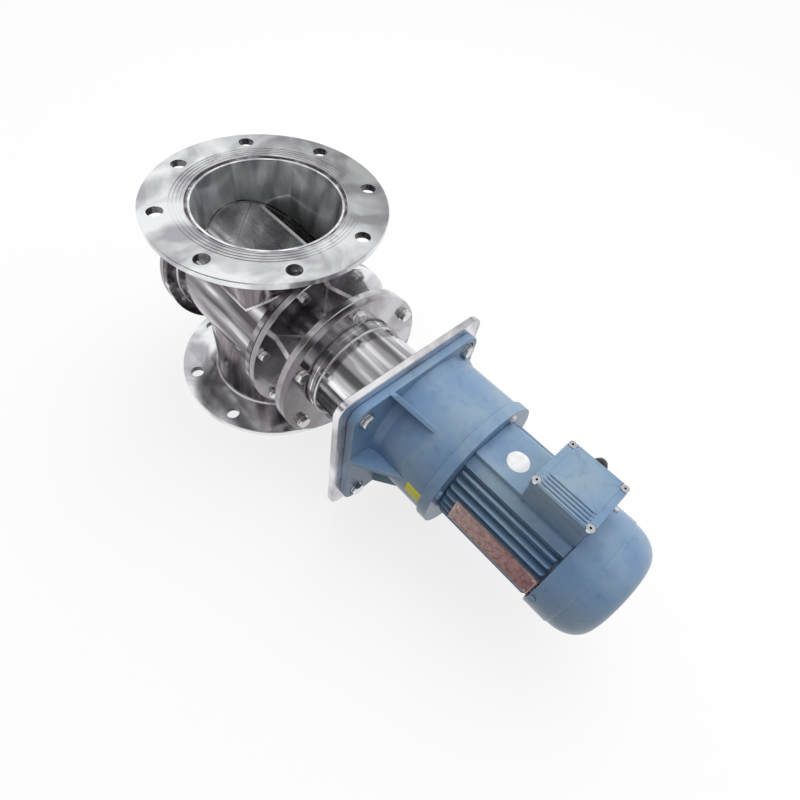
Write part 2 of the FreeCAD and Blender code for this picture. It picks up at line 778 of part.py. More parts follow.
def motor_frame():
    """The finned motor frame: level fins on both sides, foot fins below, and the box pad on top."""
    y0 = motor_offset_y
    x0 = frame_face
    x1 = frame_back
    tip_r = fin_tip_d / 2
    parts = [x_cylinder(frame_core_d, x0, x1, y0)]
    for row in range(2 * fin_rows):
        z = (row - fin_rows + 0.5) * fin_pitch
        parts.append(block(x0, x1, y0 - tip_r, y0 + tip_r, z - fin_t / 2, z + fin_t / 2))
    for row in range(foot_fin_count):
        y = y0 + (row - foot_fin_count / 2 + 0.5) * fin_pitch
        parts.append(block(x0, x1, y - fin_t / 2, y + fin_t / 2, -tip_r, 0))
    parts.append(block(x0, x1, y0 - shoulder_half_w, y0 + shoulder_half_w, 0, shoulder_z))
    finned = union(parts).common(x_cylinder(fin_tip_d, x0, x1, y0))
    pad = block(x0, x1, y0 - pad_half_w, y0 + pad_half_w, 0, pad_z)
    frame = finned.fuse(pad)
    return frame.cut(x_cylinder(frame_core_d - 2 * frame_wall, x0, x1, y0)).removeSplitter()


def stator_core():
    y0 = motor_offset_y
    start = frame_face + stator_start
    return x_ring(frame_core_d - 2 * frame_wall, core_d, start, start + stator_length, y0)


def motor_rotor():
    """The motor's rotor core, pressed on its shaft."""
    y0 = motor_offset_y
    start = frame_face + stator_start
    return x_ring(core_d - 2 * air_gap, motor_shaft_d, start, start + stator_length, y0)


def motor_shaft():
    y0 = motor_offset_y
    return x_cylinder(motor_shaft_d, rim_face + 1, frame_back + fan_start + fan_width + 2, y0)


def motor_bearing(x0):
    return x_ring(motor_bearing_od, motor_shaft_d + 2 * running_gap, x0, x0 + motor_bearing_w,
                  motor_offset_y)


def rear_shield():
    """The rear shield, a disc on the frame's end with lugs that carry the cowl."""
    y0 = motor_offset_y
    spigot = x_cylinder(frame_core_d - 2 * frame_wall, frame_back - motor_bearing_w, frame_back, y0)
    disc = x_cylinder(frame_core_d + 2 * rear_shield_rim, frame_back, frame_back + rear_shield_t, y0)
    lug = block(frame_back, frame_back + rear_shield_t, y0 - cowl_lug_w / 2, y0 + cowl_lug_w / 2,
                frame_core_d / 2, cowl_od / 2)
    lug = lug.common(x_cylinder(cowl_od - 2 * cowl_wall, frame_back, frame_back + rear_shield_t, y0))
    lugs = [turned(lug, a - 90, y0) for a in ring_angles(cowl_screw_count, cowl_screw_phase)]
    shield = union([spigot, disc] + lugs)
    shield = shield.cut(x_cylinder(motor_bearing_od, frame_back - motor_bearing_w, frame_back, y0))
    shield = shield.cut(x_cylinder(motor_shaft_d + 2 * free_gap, frame_back, frame_back + rear_shield_t, y0))
    return shield.cut(Part.makeCompound(cowl_screw_bodies(cowl_screw_d)))


def cowl_screw_bodies(diameter):
    """Radial cylinders at the cowl's screws."""
    x = frame_back + rear_shield_t / 2
    bodies = []
    for angle in ring_angles(cowl_screw_count, cowl_screw_phase):
        y, z = polar(1.0, angle)
        start = cowl_od / 2 - cowl_wall - 8
        base = Vector(x, motor_offset_y + start * y, axis_z + start * z)
        bodies.append(Part.makeCylinder(diameter / 2, cowl_wall + 8, base, Vector(0, y, z)))
    return bodies


def cowl_screws():
    """Round-head screws that hold the cowl to the rear shield."""
    x = frame_back + rear_shield_t / 2
    screws = []
    for body, angle in zip(cowl_screw_bodies(cowl_screw_d), ring_angles(cowl_screw_count, cowl_screw_phase)):
        y, z = polar(1.0, angle)
        base = Vector(x, motor_offset_y + cowl_od / 2 * y, axis_z + cowl_od / 2 * z)
        screws.append(body.fuse(Part.makeCylinder(cowl_screw_d, 2.5, base, Vector(0, y, z))))
    return screws


def fan_cowl():
    """The fan cowl: a straight skirt, a domed shoulder and a flat end with air slots."""
    y0 = motor_offset_y

    def shell(radius, face_r, end):
        """A solid dome, its shoulder a quarter ellipse from a small step to the flat end."""
        shoulder = frame_back + cowl_straight
        depth = end - shoulder
        width = radius - cowl_step - face_r
        steps = 7
        curve = [(shoulder + depth * math.sin(math.radians(90 * i / steps)),
                  face_r + width * math.cos(math.radians(90 * i / steps))) for i in range(steps + 1)]
        skirt = [(frame_back, 0), (frame_back, radius), (shoulder, radius)]
        return revolved(skirt + curve + [(end, 0)], y0)

    end = frame_back + cowl_length
    cowl = shell(cowl_od / 2, cowl_face_d / 2, end)
    cowl = cowl.cut(shell(cowl_od / 2 - cowl_wall, cowl_face_d / 2 - cowl_wall / 2, end - cowl_wall))
    slot = block(end - 2 * cowl_wall, end + cowl_wall, y0 - cowl_slot_w / 2, y0 + cowl_slot_w / 2,
                 cowl_slot_inner, cowl_slot_outer)
    slots = [turned(slot, a, y0) for a in ring_angles(cowl_slot_count)]
    cowl = cowl.cut(Part.makeCompound(slots))
    return cowl.cut(Part.makeCompound(cowl_screw_bodies(cowl_screw_d)))


def cooling_fan():
    """A disc with straight radial blades, which blows the same either way round."""
    y0 = motor_offset_y
    x0 = frame_back + fan_start
    x1 = x0 + fan_width
    parts = [x_cylinder(fan_hub_d, x0, x1, y0), x_cylinder(fan_od, x0, x0 + fan_disc_t, y0)]
    vane = block(x0, x1, y0 - fan_blade_t / 2, y0 + fan_blade_t / 2, 0, fan_od / 2 - 1)
    parts += [turned(vane, a, y0) for a in ring_angles(fan_blade_count)]
    return union(parts).cut(x_cylinder(motor_shaft_d, x0, x1, y0))


def box_spots():
    centre_x = box_x + box_length / 2
    half_x = box_length / 2 - lid_screw_inset
    half_y = box_half_w - lid_screw_inset
    return [(centre_x + sx * half_x, motor_offset_y + sy * half_y)
            for sx, sy in ((1, 1), (-1, 1), (-1, -1), (1, -1))]


def terminal_box():
    """The open box on the pad, with a screw post in each corner and the cable hole at the back."""
    y0 = motor_offset_y
    base = pad_z
    top = base + box_height
    box = block(box_x, box_x + box_length, y0 - box_half_w, y0 + box_half_w, base, top)
    inside = block(box_x + box_wall, box_x + box_length - box_wall, y0 - box_half_w + box_wall,
                   y0 + box_half_w - box_wall, base + box_wall, top)
    box = box.cut(inside)
    posts = [z_cylinder(2 * lid_screw_d, axis_z + base, axis_z + top, x, y) for x, y in box_spots()]
    outline = block(box_x, box_x + box_length, y0 - box_half_w, y0 + box_half_w, base, top)
    box = box.fuse(Part.makeCompound(posts).common(outline))
    for x, y in box_spots():
        box = box.cut(z_cylinder(lid_screw_d, axis_z + top - lid_hole_depth, axis_z + top, x, y))
    return box.cut(cable_bore(plug_d / 2 + 4, y0 + box_half_w - box_wall, y0 + box_half_w))


def cable_bore(diameter, y_a, y_b):
    """A cylinder along +Y on the cable entry's centre line."""
    base = Vector(box_x + box_length / 2, y_a, axis_z + plug_z)
    return Part.makeCylinder(diameter / 2, y_b - y_a, base, Vector(0, 1, 0))


def cable_plug():
    """The blanking plug in the cable entry."""
    wall = motor_offset_y + box_half_w
    plug = cable_bore(plug_d, wall, wall + plug_length)
    rim = [e for e in plug.Edges if e.Closed and e.BoundBox.YMin > wall + plug_length / 2]
    plug = plug.makeChamfer(2.0, rim[:1])
    return plug.fuse(cable_bore(plug_d / 2 + 4, wall - box_wall, wall))


def terminal_lid():
    """The box lid with notched corners for its screws and four grooves beside its edge."""
    y0 = motor_offset_y
    low = pad_z + box_height
    edge = lid_overhang
    x0 = box_x - edge
    x1 = box_x + box_length + edge
    half = box_half_w + edge
    lid = block(x0, x1, y0 - half, y0 + half, low, low + lid_t)
    upright = [e for e in lid.Edges if abs(e.tangentAt(e.FirstParameter).z) > 0.9]
    lid = lid.makeFillet(5.0, upright)
    top = low + lid_t
    for x, y in box_spots():
        lid = lid.cut(z_cylinder(2.4 * lid_screw_d, axis_z + top - lid_seat_depth, axis_z + top, x, y))
        lid = lid.cut(z_cylinder(lid_screw_d, axis_z + low, axis_z + top, x, y))
    for i in range(lid_groove_count):
        y = y0 - half + lid_groove_edge + lid_groove_pitch * i
        lid = lid.cut(block(x0 + lid_groove_end, x1 - lid_groove_end, y, y + lid_groove_w,
                            top - lid_groove_depth, top))
    return lid


def lid_screws():
    top = axis_z + pad_z + box_height + lid_t - lid_seat_depth
    tip = axis_z + pad_z + box_height - lid_screw_reach
    screws = []
    for x, y in box_spots():
        shank = z_cylinder(lid_screw_d, tip, top, x, y)
        screws.append(shank.fuse(z_cylinder(2 * lid_screw_d, top, top + lid_screw_head_t, x, y)))
    return screws


def terminal_block():
    """The terminal board on the box floor."""
    length, width, height = terminal_block_size
    x = box_x + (box_length - length) / 2
    low = pad_z + box_wall
    board = block(x, x + length, motor_offset_y - width / 2, motor_offset_y + width / 2, low, low + 6)
    for i in range(3):
        for side in (-1, 1):
            post_x = x + length * (i + 0.5) / 3
            post_y = motor_offset_y + side * width / 4
            board = board.fuse(z_cylinder(5, axis_z + low + 6, axis_z + low + height, post_x, post_y))
    return board


def rating_plate():
    """The bare plate on the fin tips of the near side."""
    length, width, thick = rating_plate_size
    y0 = motor_offset_y
    x0 = frame_face + rating_plate_start
    r = fin_tip_d / 2
    plate = block(x0, x0 + length, y0 - width / 2, y0 + width / 2, r, r + thick)
    return turned(plate, rating_plate_angle - 90, y0)


def save(name, shapes):
    """Writes one node: a single solid, or a group of separate solids."""
    shape = Part.makeCompound(shapes) if isinstance(shapes, list) else shapes
    shape.exportStep(os.path.join("parts", name + ".step"))
    volume = sum(s.Volume for s in shape.Solids)
    print(f"{name}: {len(shape.Solids)} solids, {volume / 1000:.1f} cm3, valid {shape.isValid()}")


def main():
    os.makedirs("parts", exist_ok=True)
    top = face_to_face
    nodes = {
        "inlet_flange": port_flange(top - port_flange_t, top),
        "outlet_flange": port_flange(0.0, 0.0),
        "inlet_neck": port_neck(),
        "outlet_neck": port_neck().mirror(Vector(0, 0, axis_z), Vector(0, 0, 1)),
        "inlet_weld": flange_weld(top - port_flange_t, top - port_weld_setback),
        "outlet_weld": flange_weld(port_weld_setback, port_flange_t),
        "body_drum": body_drum(),
        "drive_gasket": cover_gasket(1),
        "outboard_gasket": mirrored_x(cover_gasket(-1)),
        "drive_cover": drive_cover(),
        "outboard_cover": mirrored_x(outboard_cover()),
        "drive_cover_screws": cover_screws(1),
        "outboard_cover_screws": [mirrored_x(s) for s in cover_screws(-1)],
        "drive_packing": packing(),
        "outboard_packing": [mirrored_x(s) for s in packing()],
        "drive_gland": drive_gland(),
        "gland_screws": gland_screws(),
        "yoke_ribs": yoke_ribs(),
        "bearing_flange": bearing_flange(),
        "drive_bearing_outer": bearing_outer(bearing_start),
        "drive_bearing_inner": bearing_inner(bearing_start),
        "drive_bearing_cap": drive_bearing_cap(),
        "drive_cap_screws": cap_screws(lantern_face + bearing_cap_t, lantern_face - bearing_wall),
        "outboard_bearing_outer": mirrored_x(bearing_outer(outboard_bearing)),
        "outboard_bearing_inner": mirrored_x(bearing_inner(outboard_bearing)),
        "outboard_bearing_cap": mirrored_x(outboard_cap()),
        "outboard_cap_screws": [mirrored_x(s) for s in cap_screws(
            outboard_end + bearing_cap_t, outboard_end - bearing_wall)],
        "rotor_blades": rotor_blades(),
        "rotor_hub": rotor_hub(),
        "rotor_key": rotor_key(),
        "rotor_shaft": rotor_shaft(),
        "coupling_valve_half": coupling_half(coupling_a, jaw_face, 0.0),
        "coupling_spider": coupling_spider(),
        "coupling_motor_half": coupling_half(coupling_b + coupling_hub_l, coupling_b,
                                             180.0 / coupling_jaw_count),
        "coupling_keys": [coupling_key(coupling_a, jaw_face),
                          coupling_key(coupling_b, coupling_b + coupling_hub_l)],
        "lantern": lantern(),
        "lantern_screws": lantern_screws(),
        "motor_plate": motor_plate(),
        "plate_bolts": plate_bolts(),
        "plate_nuts": plate_nuts(),
        "gearbox_housing": gearbox_housing(),
        "output_bearing": output_bearing(),
        "gearbox_shaft": gearbox_shaft(),
        "input_shield": input_shield(),
        "shield_screws": shield_screws(),
        "motor_frame": motor_frame(),
        "stator_core": stator_core(),
        "motor_rotor": motor_rotor(),
        "motor_shaft": motor_shaft(),
        "motor_bearings": [motor_bearing(rim_face), motor_bearing(frame_back - motor_bearing_w)],
        "rear_shield": rear_shield(),
        "fan_cowl": fan_cowl(),
        "cowl_screws": cowl_screws(),
        "cooling_fan": cooling_fan(),
        "terminal_box": terminal_box(),
        "terminal_lid": terminal_lid(),
        "lid_screws": lid_screws(),
        "cable_plug": cable_plug(),
        "terminal_block": terminal_block(),
        "rating_plate": rating_plate(),
    }
    for name, shapes in nodes.items():
        save(name, shapes)


main()
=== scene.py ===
"""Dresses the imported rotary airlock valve: finishes, welds, screws, castings, labels, stage and camera."""

import math

import bmesh
import bpy
import numpy as np
from mathutils import Euler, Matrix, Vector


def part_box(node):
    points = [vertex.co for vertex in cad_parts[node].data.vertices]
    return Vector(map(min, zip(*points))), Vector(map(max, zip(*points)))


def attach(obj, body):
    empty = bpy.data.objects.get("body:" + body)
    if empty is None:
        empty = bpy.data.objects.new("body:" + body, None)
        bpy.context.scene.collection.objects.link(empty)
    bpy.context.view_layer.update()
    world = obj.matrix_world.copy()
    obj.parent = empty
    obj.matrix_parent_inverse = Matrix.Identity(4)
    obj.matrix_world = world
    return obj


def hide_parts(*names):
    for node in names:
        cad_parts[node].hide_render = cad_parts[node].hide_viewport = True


bl_info = {
    "name": "Rotary Airlock Valve",
    "version": (1, 0, 0),
    "blender": (4, 5, 0),
    "location": "View3D > Sidebar > Valve",
    "description": "Builds the finishes and fine pieces of a rotary airlock valve with its gear motor",
    "category": "Object",
}

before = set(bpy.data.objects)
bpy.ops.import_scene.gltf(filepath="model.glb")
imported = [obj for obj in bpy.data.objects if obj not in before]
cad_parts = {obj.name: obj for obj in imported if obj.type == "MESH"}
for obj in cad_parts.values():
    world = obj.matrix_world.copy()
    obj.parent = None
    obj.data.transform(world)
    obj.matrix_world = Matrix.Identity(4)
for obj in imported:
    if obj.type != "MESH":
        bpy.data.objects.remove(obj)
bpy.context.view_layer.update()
TURN = 2 * math.pi


def span(node):
    """Lowest and highest corner of a node as arrays in metres."""
    low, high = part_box(node)
    return np.array(low), np.array(high)


# Places read from the frame
INLET_LOW, INLET_HIGH = span("inlet_flange")
OUTLET_LOW = span("outlet_flange")[0]
DRUM_LOW, DRUM_HIGH = span("body_drum")
NECK_LOW, NECK_HIGH = span("inlet_neck")
YOKE_LOW, YOKE_HIGH = span("yoke_ribs")
LANTERN_LOW = span("lantern")[0]
PLATE_LOW = span("motor_plate")[0]
GEAR_HIGH = span("gearbox_housing")[1]
FRAME_LOW, FRAME_HIGH = span("motor_frame")
COWL_LOW, COWL_HIGH = span("fan_cowl")
BOX_HIGH = span("terminal_box")[1]
LID_LOW, LID_HIGH = span("terminal_lid")
AXIS_Z = (INLET_HIGH[2] + OUTLET_LOW[2]) / 2
MOTOR_Y = (COWL_LOW[1] + COWL_HIGH[1]) / 2
AXIS = np.array([0.0, 0.0, AXIS_Z])
MOTOR = np.array([0.0, MOTOR_Y, AXIS_Z])
PIPE_R = (NECK_HIGH[0] - NECK_LOW[0]) / 2
RIM_R = (DRUM_HIGH[1] - DRUM_LOW[1]) / 2

# Sizes that the frame's boxes don't show, as in the source
PIPE_WALL = 0.006
NECK_HALF = 0.089
RIM_T = 0.010
TUBE_R = 0.080
LANTERN_WELD = 0.021
BLADE_TIP_R = 0.0995
BLADE_END = 0.1155
RIB_ANGLES = np.radians(25 + 60 * np.arange(6))
RIB_HALF_T = 0.004
RIB_FOOT = 0.0585
RIB_REACH = (0.1035, 0.1185)
BOLT_HOLE_R = 0.011
BOLT_CIRCLE_R = (INLET_HIGH[0] - INLET_LOW[0]) / 2 - 0.0225
LID_SCREW_R = 0.005
FRAME_BORE = 0.054
ORIGIN = (0, 0, 0)
WHITE = (1, 1, 1, 1)


def metres(name, text, default, low, high):
    """A property for a length in metres."""
    return bpy.props.FloatProperty(
        name=name, description=text, default=default, min=low, max=high, unit="LENGTH")


def number(name, text, default, low, high):
    """A property for a plain number, such as degrees or watts, as its description says."""
    return bpy.props.FloatProperty(name=name, description=text, default=default, min=low, max=high)


def whole(name, text, default, low, high):
    """A property for a whole number."""
    return bpy.props.IntProperty(name=name, description=text, default=default, min=low, max=high)


def tint(name, text, default):
    """A property for a colour."""
    return bpy.props.FloatVectorProperty(
        name=name, description=text, default=default, min=0, max=1, size=3, subtype="COLOR")


class SteelSettings(bpy.types.PropertyGroup):
    """Colours and roughness of the inlet and outlet flanges, the brightest of the steel."""
    polished: tint("Polished steel", "Colour of the turned flanges", (0.86, 0.87, 0.88))
    shaded: tint("Dull steel", "Colour of the duller clouds on the flanges", (0.42, 0.42, 0.45))
    roughness: bpy.props.FloatProperty(
        name="Roughness", description="Roughness of the turned flanges", min=0, max=1, default=0.13,
        subtype="FACTOR")


class PaintSettings(bpy.types.PropertyGroup):
    """Colours of the gear motor's paint and its labels."""
    paint: tint("Paint", "Colour of the gear motor", (0.165, 0.283, 0.458))
    wear_and_shade: tint("Faded paint", "Colour of the faded patches", (0.285, 0.39, 0.465))


class WeldSettings(bpy.types.PropertyGroup):
    """Sizes of the weld beads."""
    bead: metres("Bead radius", "Radius of the welds round the necks", 0.0028, 0.001, 0.01)
    ripple: metres("Ripple pitch", "Distance from one ripple of a weld to the next", 0.0045, 0.001, 0.02)


class CowlSettings(bpy.types.PropertyGroup):
    """Sizes of the fan cowl."""
    skirt: metres("Skirt", "Length of the straight skirt", 0.034, 0.01, 0.06)
    crease: metres("Crease", "How much smaller the dome is where it meets the skirt", 0.0017, 0.0, 0.005)
    face: metres("End radius", "Radius of the flat end", 0.049, 0.046, 0.07)
    wall: metres("Wall", "Thickness of the sheet", 0.0025, 0.0005, 0.004)
    slot: metres("Slot width", "Width of an air slot", 0.0045, 0.001, 0.006)
    slots: whole("Slots", "Number of air slots in the end", 16, 4, 32)


class MotorSettings(bpy.types.PropertyGroup):
    """Sizes of the finned motor frame."""
    core: metres("Barrel radius", "Radius of the frame at the foot of the fins", 0.063, 0.05, 0.075)
    first: number("First fin", "Degrees from the level to the fin beside the shoulder", 45.3, 20, 60)
    pitch: number("Fin pitch", "Angle in degrees from one fin to the next", 9.5, 5, 20)
    fin: metres("Fin thickness", "Thickness of a fin at its foot", 0.0042, 0.001, 0.006)
    fins: whole("Fins", "Fins on each side of the frame", 14, 1, 16)
    shoulder: number("Shoulder", "Degrees from the level to the edge of the solid shoulder", 52, 40, 60)
    shelf: metres("Shoulder radius", "Radius of the solid shoulder beside the pad", 0.079, 0.066, 0.082)
    pad: metres("Pad", "Half width of the pad under the terminal box", 0.0354, 0.02, 0.05)


class LidSettings(bpy.types.PropertyGroup):
    """Sizes of the raised panel on the box lid."""
    margin: metres("Margin", "From the lid's ends to the panel", 0.0085, 0.005, 0.03)
    border: metres("Border", "From the lid's far side to the panel", 0.0065, 0.002, 0.03)
    rise: metres("Rise", "Height of the panel", 0.0012, 0.0003, 0.003)
    edge: metres("First groove", "From the lid's side to the first groove", 0.004, 0.001, 0.02)
    pitch: metres("Groove pitch", "Distance from one groove to the next", 0.0052, 0.003, 0.02)
    groove: metres("Groove width", "Width of a groove", 0.0022, 0.0005, 0.005)
    grooves: whole("Grooves", "Number of grooves", 4, 1, 8)


class LabelSettings(bpy.types.PropertyGroup):
    """Sizes and places of the bare labels."""
    length: metres("Length", "Length of the yellow label", 0.027, 0.01, 0.1)
    width: metres("Width", "Width of the yellow label", 0.024, 0.005, 0.1)
    tilt: number("Tilt", "Turn of the yellow label in degrees", 0.0, -180, 180)
    place: bpy.props.FloatVectorProperty(
        name="Place", description="X in metres and angle round the motor axis in degrees", size=2,
        default=(0.4045, 179.5))
    round: metres("Round radius", "Radius of the round label", 0.0145, 0.003, 0.03)
    round_place: bpy.props.FloatVectorProperty(
        name="Round place", description="X, and Y from the motor axis, of the round label",
        subtype="XYZ_LENGTH", size=2, default=(0.4765, -0.0035))


class RatingSettings(bpy.types.PropertyGroup):
    """Place and size of the rating plate that the trim follows."""
    angle: number("Angle", "Place round the motor axis in degrees", 171.0, 0, 360)
    radius: metres("Face", "Distance of the plate's face from the motor axis", 0.080, 0.05, 0.1)
    start: metres("Start", "X of the plate's end nearest the gearbox", 0.454, 0, 1)
    length: metres("Length", "Length of the plate", 0.130, 0.05, 0.2)
    width: metres("Width", "Width of the plate", 0.036, 0.01, 0.08)


class StageSettings(bpy.types.PropertyGroup):
    """Where the camera stands and how bright the studio is."""
    eye: bpy.props.FloatVectorProperty(
        name="Camera place", description="Where the camera stands", subtype="TRANSLATION",
        size=3, default=(0.55345, -0.35658, 0.80766))
    turn: bpy.props.FloatVectorProperty(
        name="Camera turn", description="How the camera is turned", subtype="EULER", size=3,
        default=(math.radians(37.097), math.radians(-7.056), math.radians(46.958)))
    lens: number("Lens", "Focal length in millimetres on a 36 mm film", 24.095, 10, 200)
    sky: number("Sky", "Strength of the studio's light from all round", 1.0, 0, 5)
    lift: number("Floor lift", "Light that the floor shows on top of what falls on it", 0.76, 0, 1)
    lamp: number("Lamp", "Power of the large soft lamp in watts", 10.0, 0, 100)


def settings():
    return bpy.context.scene.valve


class ValveSettings(bpy.types.PropertyGroup):
    """All settings of the valve's look."""
    steel: bpy.props.PointerProperty(type=SteelSettings)
    paint: bpy.props.PointerProperty(type=PaintSettings)
    weld: bpy.props.PointerProperty(type=WeldSettings)
    cowl: bpy.props.PointerProperty(type=CowlSettings)
    motor: bpy.props.PointerProperty(type=MotorSettings)
    lid: bpy.props.PointerProperty(type=LidSettings)
    labels: bpy.props.PointerProperty(type=LabelSettings)
    rating: bpy.props.PointerProperty(type=RatingSettings)
    stage: bpy.props.PointerProperty(type=StageSettings)


def add_node(tree, kind, values=None, **options):
    """A shader node with its options and its unlinked inputs set."""
    made = tree.nodes.new("ShaderNode" + kind)
    for name, value in options.items():
        setattr(made, name, value)
    for name, value in (values or {}).items():
        made.inputs[name].default_value = value
    return made


def link(tree, output, target):
    tree.links.new(output, target)


def blank_material(name, metallic=0.0):
    """A new material, its tree and its Principled shader."""
    material = bpy.data.materials.new(name)
    material.use_nodes = True
    shader = material.node_tree.nodes["Principled BSDF"]
    shader.inputs["Metallic"].default_value = metallic
    return material, material.node_tree, shader


def place_from(tree, centre=ORIGIN, scale=(1, 1, 1)):
    """Object coordinates measured from a centre and stretched."""
    coordinates = add_node(tree, "TexCoord")
    mapping = add_node(tree, "Mapping", {
        "Location": tuple(-c * s for c, s in zip(centre, scale)), "Scale": scale})
    link(tree, coordinates.outputs["Object"], mapping.inputs["Vector"])
    return mapping.outputs["Vector"]


def clouds(tree, place, scale, detail=4.0, stretch=0.0):
    """A soft noise between 0 and 1."""
    noise = add_node(tree, "TexNoise", {"Scale": scale, "Detail": detail, "Distortion": stretch})
    link(tree, place, noise.inputs["Vector"])
    return noise.outputs["Fac"]


def stops(tree, factor, places, interpolation="LINEAR"):
    """A colour for each level of a factor, from two or more (place, colour)."""
    blend = add_node(tree, "ValToRGB")
    blend.color_ramp.interpolation = interpolation
    elements = blend.color_ramp.elements
    for i, (place, color) in enumerate(places):
        stop = elements[i] if i < 2 else elements.new(place)
        stop.position = place
        stop.color = (*color, 1)
    link(tree, factor, blend.inputs["Fac"])
    return blend.outputs["Color"]


def ramp(tree, factor, low, high, start=0.35, end=0.65, glint=None):
    """A blend from one colour to another between two levels of a factor, with glints above them."""
    places = [(start, low), (end, high)] + ([(end + 0.06, glint)] if glint else [])
    return stops(tree, factor, places)


def mixed(tree, factor, first, second):
    """The first colour where the factor is zero and the second, or a constant, where it is one."""
    mix = add_node(tree, "MixRGB")
    link(tree, factor, mix.inputs["Fac"])
    for color, target in ((first, mix.inputs["Color1"]), (second, mix.inputs["Color2"])):
        if isinstance(color, tuple):
            target.default_value = color
        else:
            link(tree, color, target)
    return mix.outputs["Color"]


def calc(tree, kind, *values):
    """One step of arithmetic on numbers or other values."""
    made = add_node(tree, "Math", operation=kind)
    for i, value in enumerate(values):
        if isinstance(value, float):
            made.inputs[i].default_value = value
        else:
            link(tree, value, made.inputs[i])
    return made.outputs["Value"]


def vector_step(tree, kind, first, second=None, result="Vector"):
    """One step on vectors, with a constant or another vector as its second one."""
    made = add_node(tree, "VectorMath", operation=kind)
    link(tree, first, made.inputs[0])
    if isinstance(second, bpy.types.NodeSocket):
        link(tree, second, made.inputs[1])
    elif second is not None:
        made.inputs[1].default_value = second
    return made.outputs[result]


def axes_of(tree, vector):
    """The three numbers of a vector, by X, Y and Z."""
    parts = add_node(tree, "SeparateXYZ")
    link(tree, vector, parts.inputs["Vector"])
    return parts.outputs


def distance(tree, vector, mask):
    """The length of a vector with some of its axes left out by a mask."""
    return vector_step(tree, "LENGTH", vector_step(tree, "MULTIPLY", vector, mask), result="Value")


def level(tree, factor, low, high, start=0.3, end=0.7):
    """A number that goes from low to high between two levels of a factor."""
    blend = add_node(tree, "MapRange", {"From Min": start, "From Max": end, "To Min": low, "To Max": high})
    link(tree, factor, blend.inputs["Value"])
    return blend.outputs["Result"]


def bump(tree, shader, height, strength, distance, edge=None):
    """Raises the surface by a height field over edges rounded by a small radius."""
    raised = add_node(tree, "Bump", {"Strength": strength, "Distance": distance})
    link(tree, height, raised.inputs["Height"])
    if edge:
        rounded = add_node(tree, "Bevel", {"Radius": edge}, samples=4)
        link(tree, rounded.outputs["Normal"], raised.inputs["Normal"])
    link(tree, raised.outputs["Normal"], shader.inputs["Normal"])


def set_surface(tree, shader, color, rough, *relief):
    """Links the colour and roughness of a shader and raises its surface."""
    link(tree, color, shader.inputs["Base Color"])
    link(tree, rough, shader.inputs["Roughness"])
    bump(tree, shader, *relief)


def edge_wear_and_highlight(tree, radius):
    """One on sharp edges and zero on flat faces: how far a rounded normal leans from the plain one."""
    rounded = add_node(tree, "Bevel", {"Radius": radius}, samples=4)
    plain = add_node(tree, "NewGeometry")
    lean = vector_step(tree, "DOT_PRODUCT", rounded.outputs["Normal"], plain.outputs["Normal"], "Value")
    return level(tree, lean, 0.75, 0.0, 0.80, 0.985)


def ring_lines(tree, place, axis, scale):
    """Fine lines round an axis: noise that depends only on the distance from the axis."""
    mask = [float(letter != axis) for letter in "XYZ"]
    lines = add_node(tree, "TexNoise", {"Scale": scale, "Detail": 5.0}, noise_dimensions="1D")
    link(tree, distance(tree, place, mask), lines.inputs["W"])
    return lines.outputs["Fac"]


def steel(name, centre, grain, colors, rough, edge=0.0006, seed=0.0, streaks=None, inside=None,
          glint=None, dirt_and_shade=None, depth=None):
    """Bare steel with clouds in its polish and fine lines: turned round X or Z, or drawn along X or Z.
    Streaks stretch the clouds into long bands of painted reflection with painted glints. Inside is a mask
    with its own two colours of painted light and shade, the stretch of its clouds and how metallic it is
    there, and depth paints shade on it below a level. The darker colour for the low side is painted shade,
    laid on towards low Y, within the mask if there is one."""
    low, high = colors
    material, tree, shader = blank_material(name, 1.0)
    shift = tuple(c + seed for c in centre)
    cloudy = clouds(tree, place_from(tree, shift), 14.0, 3.0, 0.6)
    color = ramp(tree, cloudy, low, high, 0.36, 0.58)
    # Painted reflections: the clouds stretched into long dark and bright bands, with painted glints above
    # them.
    if streaks:
        reflection_bands = clouds(tree, place_from(tree, shift, streaks), 1.0, 2.5, 0.3)
        color = ramp(tree, reflection_bands, low, high, 0.42, 0.60, glint)
    if inside:
        grey = clouds(tree, place_from(tree, shift, inside[3]), 1.0, 3.5, 0.5) if len(inside) > 3 else cloudy
        within = inside[0](tree)
        inner = ramp(tree, grey, inside[1], inside[2], 0.36, 0.6)
        # Painted shade deep in the bore.
        if depth:
            inner = shade_painted_below(tree, inner, *depth)
        color = mixed(tree, within, color, inner)
        if len(inside) > 4:
            link(tree, level(tree, within, 1.0, inside[4], 0.0, 1.0), shader.inputs["Metallic"])
    # Painted shade: a darker colour towards low Y, where the clouds are high.
    if dirt_and_shade:
        shade_on_low_side = level(tree, axes_of(tree, place_from(tree, centre))["Y"], 0.85, 0.0, -0.11, 0.05)
        wear_and_shade = calc(tree, "MULTIPLY", shade_on_low_side, level(tree, cloudy, 0.7, 1.0))
        if inside:
            wear_and_shade = calc(tree, "MULTIPLY", wear_and_shade, within)
        color = mixed(tree, wear_and_shade, color, painted_shade_metal(tree, dirt_and_shade))
    place = place_from(tree, centre)
    if grain.startswith("turned"):
        lines = ring_lines(tree, place, grain[-1], 900.0)
    else:
        stretch = {"drawn X": (60, 900, 900), "drawn Z": (900, 900, 60)}.get(grain, (700, 700, 700))
        lines = clouds(tree, place_from(tree, centre, stretch), 1.0, 3.0)
    both = calc(tree, "MULTIPLY_ADD", cloudy, 0.5, calc(tree, "MULTIPLY", lines, 0.5))
    rough = level(tree, both, rough * 1.7, rough * 0.75, 0.35, 0.62)
    set_surface(tree, shader, color, rough, lines, 0.12, 0.0002, edge)
    return material


